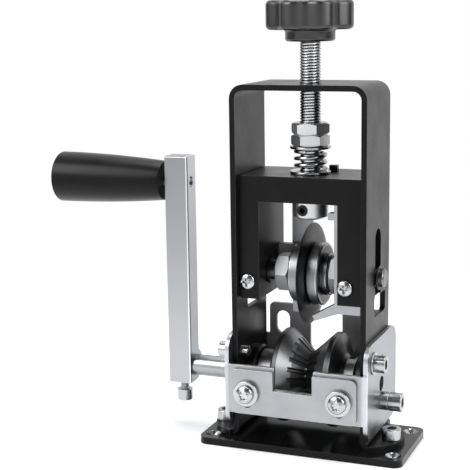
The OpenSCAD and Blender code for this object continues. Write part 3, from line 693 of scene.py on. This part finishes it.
def six_lobed_at(outer, inner):
    """Radius of a six-lobed recess."""
    lobes, power = 6, 0.7
    return lambda angle: inner + (outer - inner) * wave(lobes * angle) ** power


def wave(angle):
    """A smooth wave between one at no turn and zero at half a turn."""
    return 0.5 + 0.5 * math.cos(angle)


def cross_at(arm, half_width):
    """Radius of a cross recess with four arms."""

    def radius(angle):
        off = abs((angle + QUARTER_TURN / 2) % QUARTER_TURN - QUARTER_TURN / 2)
        return min(arm / math.cos(off), half_width / max(math.sin(off), 0.001))

    return radius


def lobed_at(tip, depth, lobes):
    """Radius of a star knob's outline: broad lobes with narrower valleys of that depth."""
    power = 1.4
    return lambda angle: tip - depth * wave(lobes * angle) ** power


def inset(shape, width):
    """A shape drawn in by a width."""
    return lambda angle: shape(angle) - width


def rounds(rings):
    """Rings given as radius and height, as pairs of round shape and height."""
    return [(round_at(radius), height) for radius, height in rings]


def arc(count, radius, height, edge, start, end):
    """Rings round a corner of that edge radius, from one angle to another."""
    turns = [math.radians(start + (end - start) * i / count) for i in range(count + 1)]
    return [(radius - edge + edge * math.cos(t), height + edge * math.sin(t)) for t in turns]


def add_ring(bm, steps, shape, height, place):
    """A closed ring of edges whose radius follows the shape, at a height of the placed axis."""
    made = bmesh.ops.create_circle(bm, segments=steps, radius=1.0)
    for vert in made["verts"]:
        radius = shape(math.atan2(vert.co.y, vert.co.x))
        vert.co = vert.co.normalized() * radius
        vert.co.z = height
    bmesh.ops.transform(bm, matrix=place, verts=made["verts"])
    return list({e for v in made["verts"] for e in v.link_edges})


def add_stack(bm, steps, rings, place):
    """A closed skin over rings, each a pair of shape and height, with both ends filled."""
    loops = [add_ring(bm, steps, shape, height, place) for shape, height in rings]
    for lower, upper in zip(loops, loops[1:]):
        bmesh.ops.bridge_loops(bm, edges=lower + upper)
    for end in (loops[0], loops[-1]):
        bmesh.ops.contextual_create(bm, geom=end)


def spun(bm, geom, middle, rise, angle, steps):
    """Spins geometry round an upright axis by an angle while it climbs by rise."""
    return bmesh.ops.spin(
        bm, geom=geom, cent=middle, axis=UP, dvec=(0, 0, rise / steps), angle=angle, steps=steps,
        use_merge=False, use_normal_flip=False, use_duplicate=False,
    )


def facing(origin, towards):
    """A placing matrix at a point, with its +Z along a direction."""
    turn = Vector(UP).rotation_difference(Vector(towards)).to_matrix().to_4x4()
    return Matrix.Translation(Vector(origin)) @ turn


def closed(bm):
    """Joins what lies together and turns every face outwards."""
    bmesh.ops.remove_doubles(bm, verts=bm.verts[:], dist=SEAM)
    bmesh.ops.recalc_face_normals(bm, faces=bm.faces[:])


# Screws


SCREW_STEPS = 72
SCREW_PITCH = 0.8 * MM
SCREW_DEPTH = 0.5 * MM
HEAD_EDGE = 0.6 * MM
LIP = 0.25 * MM


def ridges(shank, length):
    """Rings of a screw's thread, from its blunt tip to under its head."""
    root = shank - SCREW_DEPTH
    crest_length, fall_end, plain = 0.2 * SCREW_PITCH, 0.6 * SCREW_PITCH, 0.4 * SCREW_PITCH
    rings = [(root, -length)]
    for i in range(int(length / SCREW_PITCH) - 1):
        start = SCREW_PITCH * (i + 0.5) - length
        rings += [(shank, start), (shank, start + crest_length), (root, start + fall_end)]
    return rounds(rings + [(shank, -plain), (shank, 0)])


def add_cap_screw(bm, place, head, height, shank, length, recess, deep):
    """A round-headed screw: the head stands on the placed origin, the shank goes below it."""
    side = [(head - HEAD_EDGE / 2, 0), (head, HEAD_EDGE / 2)]
    side += arc(4, head, height - HEAD_EDGE, HEAD_EDGE, 0, 90)
    socket = [(inset(recess, -LIP), height), (recess, height - LIP), (recess, height - deep)]
    add_stack(bm, SCREW_STEPS, ridges(shank, length) + rounds(side) + socket, place)


def add_dome_screw(bm, place, head, height, shank, length, recess, deep, rim):
    """A pan or button head: its top is a low dome from the rim's height up."""
    dome = [math.radians(a) for a in (0, 14, 28, 44, 60)]
    rings = [(shank, -length), (shank, 0), (head, 0)]
    rings += [(head * math.cos(a), rim + (height - rim) * math.sin(a)) for a in dome]
    dome_end = rings[-1][1]
    lip_share, lip_out, bottom_in = 0.8, 0.2 * MM, 0.3 * MM
    top = dome_end + (height - dome_end) * lip_share
    socket = [
        (inset(recess, -lip_out), top),
        (recess, top - LIP),
        (inset(recess, bottom_in), top - deep),
    ]
    add_stack(bm, SCREW_STEPS, rounds(rings) + socket, place)


def seated(name, axis, height):
    """A placing matrix for a head of that height, flush with the side its axis points at."""
    axis = Vector(axis)
    reach = abs(size(name).dot(axis)) / 2
    return facing(centre(name) + axis * (reach - height), axis)


def screws(name, add, places, lengths=None, **shape):
    """One piece made of like screws at several places, standing for the node of that name."""
    bm = bmesh.new()
    for i, place in enumerate(places):
        if lengths:
            shape["length"] = lengths[i]
        add(bm, place, **shape)
    closed(bm)
    replace_node(bm, name + "_finished", name, "bright_steel")


class STRIPPER_OT_screws(bpy.types.Operator):
    """Makes the cap screws, the gate screws and the yoke's cross-recess screws"""

    bl_idname = "stripper.screws"
    bl_label = "Screws"

    def execute(self, context):
        m5 = {"shank": 2.5 * MM, "recess": hexagon_at(4 * MM), "deep": 2.5 * MM}
        m6 = {"shank": 3 * MM, "recess": hexagon_at(5 * MM), "deep": 3 * MM}

        height = 6 * MM
        low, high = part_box("foot_screws")
        middle = centre("foot_screws")
        head = size("foot_screws").y / 2
        seat = high.z - height
        places = [facing((x, middle.y, seat), UP) for x in (low.x + head, high.x - head)]
        screws(
            "foot_screws", add_cap_screw, places, head=head, height=height, length=seat - low.z, **m6
        )

        left_length, right_length = 11 * MM, 7 * MM
        places = [seated("bracket_screws", axis, height) for axis in (LEFT, RIGHT)]
        screws(
            "bracket_screws", add_cap_screw, places, (left_length, right_length),
            head=size("bracket_screws").z / 2, height=height, **m6,
        )

        height, length = 7.2 * MM, 9 * MM
        screws(
            "side_lock_screw", add_cap_screw, [seated("side_lock_screw", RIGHT, height)],
            head=size("side_lock_screw").z / 2, height=height, length=length,
            **{**m6, "shank": m5["shank"]},
        )

        height = 6.6 * MM
        box = size("clamp_screw")
        screws(
            "clamp_screw", add_cap_screw, [seated("clamp_screw", DOWN, height)],
            head=box.x / 2, height=height, length=box.z - height, **m5,
        )

        gate = {
            "height": 3.6 * MM, "shank": 2.5 * MM, "recess": six_lobed_at(2.7 * MM, 1.7 * MM),
            "deep": 1 * MM, "rim": 1.5 * MM,
        }
        yoke = {
            "height": 2.6 * MM, "shank": 2 * MM, "recess": cross_at(2.8 * MM, 0.6 * MM),
            "deep": 1.7 * MM, "rim": 0.9 * MM,
        }
        # the yoke screws' heads are wider in the photo than the solids'
        for name, wider, shape in (("gate_screws", 0, gate), ("yoke_screws", 0.6 * MM, yoke)):
            low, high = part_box(name)
            head = size(name).z / 2
            seat = low.y + shape["height"]
            spots = [(x, seat, centre(name).z) for x in (low.x + head, high.x - head)]
            screws(
                name, add_dome_screw, [facing(spot, FRONT) for spot in spots],
                head=head + wider, length=high.y - seat, **shape,
            )
        return {"FINISHED"}


# Plates and blocks with rounded edges


class STRIPPER_OT_plates(bpy.types.Operator):
    """Makes the base, the portal, the bracket, the gate and the rear plate"""

    bl_idname = "stripper.plates"
    bl_label = "Plates and frame"

    def execute(self, context):
        edge = sizes().edge
        # the rounded edges of the base and the portal carry a painted highlight
        edged_copy("base_plate", "base_paint", edge, rim="worn_paint")
        edged_copy("portal_frame", "black_paint", edge * 1.2, segments=3, rim="worn_paint")
        # the rear plate's grey carries painted light
        edged_copy("rear_plate", "dark_steel", edge)
        for name in ("left_bearing", "right_bearing"):
            edged_copy(name, "black_oxide", sizes().fine_edge)
        # the rounded edges of the bracket and the gate carry a painted highlight
        edged_copy("guide_bracket", "bracket_metal", edge, rim="zinc_edge")
        edged_copy("cable_gate", "zinc", edge, rim="zinc_edge")
        return {"FINISHED"}


class STRIPPER_OT_yoke(bpy.types.Operator):
    """Makes the yoke with its plough, bar, block, bushes and stop"""

    bl_idname = "stripper.yoke"
    bl_label = "Yoke"

    def execute(self, context):
        edge, fine = sizes().edge, sizes().fine_edge
        # the yoke's rounded edges carry a painted highlight
        edged_copy("carriage_yoke", "black_paint", edge, rim="worn_paint")
        edged_copy("jacket_plough", "zinc", fine)
        edged_copy("rear_bar", "zinc", fine)
        # the block's grey carries painted light
        edged_copy("rear_bar_block", "dark_steel", edge)
        edged_copy("axle_bushes", "bronze", fine)
        edged_copy("spring_stop", "black_oxide", edge)
        return {"FINISHED"}


class STRIPPER_OT_blade(bpy.types.Operator):
    """Makes the cutting blade, its flanges, nuts, washer, axle and clips"""

    bl_idname = "stripper.blade"
    bl_label = "Blade"

    def execute(self, context):
        fine = sizes().fine_edge
        edged_copy("cutting_blade", "blade_steel", fine / 3)
        for name in ("left_blade_flange", "right_blade_flange"):
            # the flanges' rounded edges take bright steel as a painted highlight
            edged_copy(name, "flange_steel", fine * 1.5, rim="bright_steel")
        edged_copy("blade_axle", "axle_steel", fine)
        for name in ("left_blade_nut", "right_blade_nut", "blade_nut_washer"):
            edged_copy(name, "nut_steel", fine, angle=20)
        edged_copy("axle_clips", "black_oxide", fine)
        return {"FINISHED"}


class STRIPPER_OT_roller(bpy.types.Operator):
    """Makes the toothed roller, its shaft, washer and set screw"""

    bl_idname = "stripper.roller"
    bl_label = "Roller"

    def execute(self, context):
        fine = sizes().fine_edge
        for name in ("left_roller_half", "right_roller_half"):
            edged_copy(name, "roller_steel", fine)
        edged_copy("drive_shaft", "shaft_steel", fine)
        edged_copy("thrust_washer", "bright_steel", fine / 2)
        edged_copy("roller_set_screw", "black_oxide", fine / 2)
        return {"FINISHED"}


class STRIPPER_OT_small_parts(bpy.types.Operator):
    """Makes the nuts, washers, spacer and collar"""

    bl_idname = "stripper.small_parts"
    bl_label = "Nuts, washers and collar"

    def execute(self, context):
        fine = sizes().fine_edge
        for name in ("lower_jam_nut", "upper_jam_nut"):
            edged_copy(name, "jam_steel", fine, angle=20)
        for name in ("bracket_washers", "gate_washers", "side_lock_spacer"):
            edged_copy(name, "bright_steel", fine / 2)
        for name in ("lower_washer", "upper_washer"):
            edged_copy(name, "bright_steel", fine)
        edged_copy("retaining_collar", "jam_steel", fine)
        edged_copy("collar_set_screw", "black_oxide", fine / 2)
        return {"FINISHED"}


# The crank


class STRIPPER_OT_crank_arm(bpy.types.Operator):
    """Makes the crank arm and the stud that carries the grip"""

    bl_idname = "stripper.crank_arm"
    bl_label = "Crank arm"

    def execute(self, context):
        # the arm's rounded edges carry a painted highlight
        edged_copy("crank_arm", "arm_metal", sizes().edge * 2, segments=3, rim="zinc_edge")
        edged_copy("grip_stud", "bright_steel", sizes().fine_edge)
        share, sunk, thick, edge = 0.9, 3.2 * MM, 1.6 * MM, 0.4 * MM
        radius = size("grip_stud").z / 2 * share
        stud = centre("grip_stud")
        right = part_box("crank_arm")[1].x
        rings = rounds([(radius, 0)] + arc(3, radius, thick, edge, 0, 90))
        bm = bmesh.new()
        add_stack(bm, sizes().turned_steps, rings, facing((right - sunk, stud.y, stud.z), RIGHT))
        closed(bm)
        finish_mesh(bm, "grip_stud_end", "grip_stud", "bright_steel")
        return {"FINISHED"}


class STRIPPER_OT_grip(bpy.types.Operator):
    """Makes the moulded grip: a long swell with a rounded end"""

    bl_idname = "stripper.grip"
    bl_label = "Grip"

    def execute(self, context):
        low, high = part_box("grip")
        end = size("grip").z / 2
        neck, edge = 11 * MM, 0.8 * MM
        bore, bore_depth, lip = 3.4 * MM, 3 * MM, 0.3 * MM
        dome = 2.5 * MM
        body = high.x - low.x - dome
        swell_steps, swell_power = 32, 0.85
        dome_steps, dome_power = 20, 2 / 2.4
        rings = [(bore, bore_depth), (bore, lip), (bore + lip, 0)]
        rings += arc(5, neck, edge, edge, -90, 0)
        for i in range(1, swell_steps + 1):
            t = i / swell_steps
            swell = math.sin(QUARTER_TURN * t) ** swell_power
            rings.append((neck + (end - neck) * swell, edge + t * (body - edge)))
        for i in range(1, dome_steps):
            a = QUARTER_TURN * i / dome_steps
            across, along = math.cos(a) ** dome_power, math.sin(a) ** dome_power
            rings.append((end * across, body + dome * along))
        place = facing((high.x, centre("grip").y, centre("grip").z), LEFT)
        replace_stack("grip_moulded", "grip", "grip_plastic", rounds(rings), place)
        return {"FINISHED"}


# The adjuster


class STRIPPER_OT_rod(bpy.types.Operator):
    """Cuts the adjusting rod's thread by spinning one pitch of its profile up the rod"""

    bl_idname = "stripper.rod"
    bl_label = "Threaded rod"

    def execute(self, context):
        low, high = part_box("threaded_rod")
        middle = centre("threaded_rod")
        pitch, steps = sizes().pitch, sizes().thread_steps
        crest = size("threaded_rod").x / 2
        root = crest - sizes().thread_depth
        turns = int((high.z - low.z) / pitch) - 2
        # one turn's outline as radius and height, and the first turn's start, heights in pitches
        profile = [(root, 0), (crest, 0.32), (crest, 0.62), (root, 0.94), (root, 1)]
        first = 0.7
        bm = bmesh.new()
        line = [
            bm.verts.new((middle.x + radius, middle.y, low.z + pitch * (first + up)))
            for radius, up in profile
        ]
        edges = [bm.edges.new(pair) for pair in zip(line, line[1:])]
        spun(bm, line + edges, (middle.x, middle.y, low.z), pitch, WHOLE_TURN, steps)
        turn = bm.verts[:] + bm.edges[:] + bm.faces[:]
        for i in range(1, turns):
            copied = bmesh.ops.duplicate(bm, geom=turn)
            moved = [g for g in copied["geom"] if isinstance(g, bmesh.types.BMVert)]
            bmesh.ops.translate(bm, verts=moved, vec=(0, 0, pitch * i))

        blunt, bevel, tip_drop, core_drop = 1.2 * MM, 0.5 * MM, 0.3 * MM, 0.02 * MM
        tip, core = root - tip_drop, root - core_drop
        lower_end = low.z + blunt + pitch
        lower = [(tip, low.z), (core, low.z + bevel), (core, lower_end), (tip, lower_end)]
        upper = [(core, high.z - blunt - pitch), (core, high.z - bevel), (tip, high.z)]
        for rings in (lower, upper):
            add_stack(bm, steps, rounds(rings), Matrix.Translation((middle.x, middle.y, 0)))
        closed(bm)
        replace_node(bm, "threaded_rod_cut", "threaded_rod", "thread_steel")
        return {"FINISHED"}


class STRIPPER_OT_spring(bpy.types.Operator):
    """Winds the pressure spring by spinning its wire, level at both ends"""

    bl_idname = "stripper.spring"
    bl_label = "Pressure spring"

    def execute(self, context):
        low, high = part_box("pressure_spring")
        middle = centre("pressure_spring")
        wire, wire_steps = 1.05 * MM, 16
        coil = size("pressure_spring").x / 2 - wire
        turns, level, steps = 2.75, 1 / 8, 48
        rise = high.z - low.z - 2 * wire
        bm = bmesh.new()
        made = bmesh.ops.create_circle(bm, segments=wire_steps, radius=wire)
        place = facing((middle.x + coil, middle.y, low.z + wire), BACK)
        bmesh.ops.transform(bm, matrix=place, verts=made["verts"])
        start = list({e for v in made["verts"] for e in v.link_edges})
        bmesh.ops.contextual_create(bm, geom=start)
        geom = made["verts"] + start
        for part, climb in ((level, 0), (turns - 2 * level, rise), (level, 0)):
            count = max(2, round(part * steps))
            swept = spun(bm, geom, middle, climb, WHOLE_TURN * part, count)
            geom = swept["geom_last"]
        last = [g for g in geom if isinstance(g, bmesh.types.BMEdge)]
        bmesh.ops.contextual_create(bm, geom=last)
        closed(bm)
        replace_node(bm, "pressure_spring_wound", "pressure_spring", "bright_steel")
        return {"FINISHED"}


class STRIPPER_OT_knob(bpy.types.Operator):
    """Makes the star knob with its hub and its cap"""

    bl_idname = "stripper.knob"
    bl_label = "Star knob"

    def execute(self, context):
        rod = centre("threaded_rod")
        low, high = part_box("star_knob")
        tall = high.z - low.z
        lobes, lobe_steps, tip, valley_depth = 7, 32, 23.4 * MM, 3.2 * MM
        outline = lobed_at(tip, valley_depth, lobes)
        turn = Matrix.Rotation(math.radians(25.5), 4, "Z")
        room, bore_depth = 0.05 * MM, 2 * MM
        bore = size("threaded_rod").x / 2 + room
        hub, hub_edge, hub_top = 13.2 * MM, 1.6 * MM, 6 * MM
        flare, edge = 1.2 * MM, 2.6 * MM
        seat, seat_slope, seat_depth = 14.6 * MM, 0.4 * MM, 0.3 * MM
        rings = [(bore, bore_depth), (bore, 0)]
        rings += arc(4, hub, hub_edge, hub_edge, -90, 0)
        rings += [(hub, hub_top - flare), (hub + flare / 3, hub_top - flare / 3), (hub + flare, hub_top)]
        rings = rounds(rings)
        for z, start in ((hub_top + edge, -90), (tall - edge, 0)):
            corner = arc(6, edge, z, edge, start, start + 90)
            rings += [(inset(outline, edge - radius), height) for radius, height in corner]
        rings += rounds([(seat, tall), (seat - seat_slope, tall - seat_depth)])
        place = Matrix.Translation((rod.x, rod.y, low.z)) @ turn
        steps = lobes * lobe_steps
        replace_stack("star_knob_moulded", "star_knob", "knob_plastic", rings, place, steps)

        low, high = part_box("knob_cap")
        radius = size("knob_cap").x / 2
        thick = high.z - low.z
        foot_in, foot_up = 0.2 * MM, 0.3 * MM
        edge, crown, crown_step = 0.6 * MM, 0.2 * MM, 0.08 * MM
        rings = [(radius - foot_in, 0), (radius, foot_up)]
        rings += arc(4, radius, thick - edge - crown, edge, 0, 75)
        rings += [(radius * 0.8, thick - crown_step), (radius * 0.4, thick)]
        place = Matrix.Translation((rod.x, rod.y, low.z))
        replace_stack("knob_cap_moulded", "knob_cap", "cap_plastic", rounds(rings), place)
        return {"FINISHED"}


# The studio


# the photo's camera, fitted to the machine's straight edges
EYE = Vector((203.99, -609.72, 236.60)) * MM
TARGET = Vector((-46.23, 4.5, 111.49)) * MM
ROLL = math.radians(-0.852)
LENS, SENSOR, CLIP_START = 93.27, 36.0, 0.05
FLOOR_HALF = 6
# how far from the middle the floor starts to fade, and where it is plain white
FADE_START, FADE_END = 0.18, 0.5

# each lamp's name, place, width and height in metres, and power in watts
MIDDLE = (-0.03, 0, 0.1)
LAMPS = (
    ("Key", (-0.75, -0.85, 0.95), 0.8, 0.8, 13),
    ("Fill", (1.05, -0.35, 0.6), 0.5, 1.0, 7),
    ("Top", (0.0, 0.15, 1.15), 0.9, 0.5, 9),
)
# each card's name, place, the point that it faces, width and height in metres, and brightness
CARDS = (
    ("Card_ceiling", (0.0, -0.4, 1.5), MIDDLE, 2.2, 2.2, 0.05),
    ("Card_back", (-0.23, 0.5, 0.08), (-0.23, 0, 0.08), 0.32, 0.18, 0.02),
    ("Card_front", (0.25, -1.3, 0.75), MIDDLE, 1.6, 0.9, 0.08),
    ("Card_low_left", (-0.57, -0.25, 0.11), (-0.03, 0, 0.11), 0.24, 0.2, 0.02),
    ("Card_low_right", (0.57, -0.185, 0.11), (-0.03, 0, 0.11), 0.24, 0.2, 0.02),
    ("Card_left", (-1.2, 0.1, 0.25), MIDDLE, 0.7, 0.6, 0.12),
    ("Card_right", (1.2, 0.4, 0.25), MIDDLE, 0.9, 0.6, 0.06),
)
WHITE = (1, 1, 1, 1)


def aimed(spot, target, axis):
    """A placing matrix at a spot, with one axis towards a target."""
    aim = Vector(target) - Vector(spot)
    return Matrix.Translation(spot) @ aim.to_track_quat(axis, "Y").to_matrix().to_4x4()


def add_lamp(name, spot, width, height, power):
    """A soft rectangular lamp aimed at the machine."""
    lamp = bpy.data.lights.new(name, "AREA")
    lamp.shape = "RECTANGLE"
    lamp.size = width
    lamp.size_y = height
    lamp.energy = power
    made = bpy.data.objects.new(name, lamp)
    bpy.context.scene.collection.objects.link(made)
    made.matrix_world = aimed(spot, MIDDLE, "-Z")


def add_card(name, spot, target, width, height, brightness):
    """A card that only reflections see, to give metal its darker bands."""
    paint = bpy.data.materials.new(name)
    paint.use_nodes = True
    tree = paint.node_tree
    tree.nodes.clear()
    glow = node(tree, "Emission", Color=(brightness, brightness, brightness, 1))
    out = node(tree, "OutputMaterial")
    link(tree, (glow.outputs["Emission"], out.inputs["Surface"]))
    bm = bmesh.new()
    bmesh.ops.create_grid(bm, x_segments=1, y_segments=1, size=0.5)
    place = aimed(spot, target, "Z") @ Matrix.Diagonal((width, height, 1, 1))
    bmesh.ops.transform(bm, matrix=place, verts=bm.verts[:])
    card = object_from(bm, name)
    card.data.materials.append(paint)
    card.visible_camera = False
    card.visible_diffuse = False
    card.visible_shadow = False


def seen_directly(tree):
    """One for rays from the camera, from reflections and through clear things."""
    path = node(tree, "LightPath")
    first = node(tree, "Math", operation="MAXIMUM")
    second = node(tree, "Math", operation="MAXIMUM")
    link(
        tree,
        (path.outputs["Is Camera Ray"], first.inputs[0]),
        (path.outputs["Is Glossy Ray"], first.inputs[1]),
        (first.outputs["Value"], second.inputs[0]),
        (path.outputs["Is Transmission Ray"], second.inputs[1]),
    )
    return second.outputs["Value"]


def floor_paper():
    """White paper that takes shadows near the object and fades into the plain white beyond."""
    paper = bpy.data.materials.new("floor_paper")
    paper.use_nodes = True
    tree = paper.node_tree
    shader = tree.nodes["Principled BSDF"]
    shader.inputs["Base Color"].default_value = (0.95, 0.95, 0.95, 1)
    shader.inputs["Roughness"].default_value = 0.8
    glow = node(tree, "Emission", Color=WHITE, Strength=1.0)
    coordinates = node(tree, "TexCoord")
    far = node(tree, "VectorMath", operation="LENGTH")
    reach = {"From Min": FADE_START, "From Max": FADE_END}
    fade = node(tree, "MapRange", interpolation_type="SMOOTHSTEP", **reach)
    both = node(tree, "Math", operation="MULTIPLY")
    mix = node(tree, "MixShader")
    out = tree.nodes["Material Output"]
    link(
        tree,
        (coordinates.outputs["Object"], far.inputs[0]),
        (far.outputs["Value"], fade.inputs["Value"]),
        (seen_directly(tree), both.inputs[0]),
        (fade.outputs["Result"], both.inputs[1]),
        (both.outputs["Value"], mix.inputs["Fac"]),
        (shader.outputs["BSDF"], mix.inputs[1]),
        (glow.outputs["Emission"], mix.inputs[2]),
        (mix.outputs["Shader"], out.inputs["Surface"]),
    )
    return paper


def studio_world():
    """Soft light from all round, behind a white that only direct looks and reflections see."""
    world = bpy.data.worlds.new("Studio")
    world.use_nodes = True
    tree = world.node_tree
    tree.nodes.clear()
    soft = node(tree, "Background", Color=(0.96, 0.97, 1.0, 1), Strength=0.62)
    white = node(tree, "Background", Color=WHITE, Strength=1.0)
    mix = node(tree, "MixShader")
    out = node(tree, "OutputWorld")
    link(
        tree,
        (seen_directly(tree), mix.inputs["Fac"]),
        (soft.outputs["Background"], mix.inputs[1]),
        (white.outputs["Background"], mix.inputs[2]),
        (mix.outputs["Shader"], out.inputs["Surface"]),
    )
    return world


class STRIPPER_OT_stage(bpy.types.Operator):
    """Sets the camera, the floor, the lamps and the world"""

    bl_idname = "stripper.stage"
    bl_label = "Studio"

    def execute(self, context):
        scene = context.scene
        scene.view_settings.view_transform = "Standard"
        scene.world = studio_world()

        camera = bpy.data.cameras.new("Camera")
        camera.sensor_width = SENSOR
        camera.lens = LENS
        camera.clip_start = CLIP_START
        view = bpy.data.objects.new("Camera", camera)
        scene.collection.objects.link(view)
        view.matrix_world = aimed(EYE, TARGET, "-Z") @ Matrix.Rotation(ROLL, 4, "Z")
        scene.camera = view

        bm = bmesh.new()
        bmesh.ops.create_grid(bm, x_segments=1, y_segments=1, size=FLOOR_HALF)
        floor = object_from(bm, "Floor")
        floor.data.materials.append(floor_paper())

        for lamp in LAMPS:
            add_lamp(*lamp)
        for card in CARDS:
            add_card(*card)
        return {"FINISHED"}


class STRIPPER_PT_panel(bpy.types.Panel):
    """Lists the steps that build the stripper"""

    bl_idname = "STRIPPER_PT_panel"
    bl_label = "Hand crank wire stripper"
    bl_space_type = "VIEW_3D"
    bl_region_type = "UI"
    bl_category = "Stripper"

    def draw(self, context):
        for step in STEPS:
            self.layout.operator(step.bl_idname)
        for group in (sizes(), colours()):
            for name in group.__annotations__:
                self.layout.prop(group, name)


STEPS = (
    STRIPPER_OT_stage,
    STRIPPER_OT_plates,
    STRIPPER_OT_yoke,
    STRIPPER_OT_blade,
    STRIPPER_OT_roller,
    STRIPPER_OT_small_parts,
    STRIPPER_OT_screws,
    STRIPPER_OT_crank_arm,
    STRIPPER_OT_grip,
    STRIPPER_OT_rod,
    STRIPPER_OT_spring,
    STRIPPER_OT_knob,
)
CLASSES = (StripperSizes, StripperColours, *STEPS, STRIPPER_PT_panel)


def register():
    for cls in CLASSES:
        bpy.utils.register_class(cls)
    bpy.types.Scene.stripper_sizes = PointerProperty(type=StripperSizes)
    bpy.types.Scene.stripper_colours = PointerProperty(type=StripperColours)


def unregister():
    del bpy.types.Scene.stripper_colours
    del bpy.types.Scene.stripper_sizes
    for cls in reversed(CLASSES):
        bpy.utils.unregister_class(cls)


def main():
    register()
    for step in STEPS:
        group, name = step.bl_idname.split(".")
        getattr(getattr(bpy.ops, group), name)()


if __name__ == "__main__":
    main()
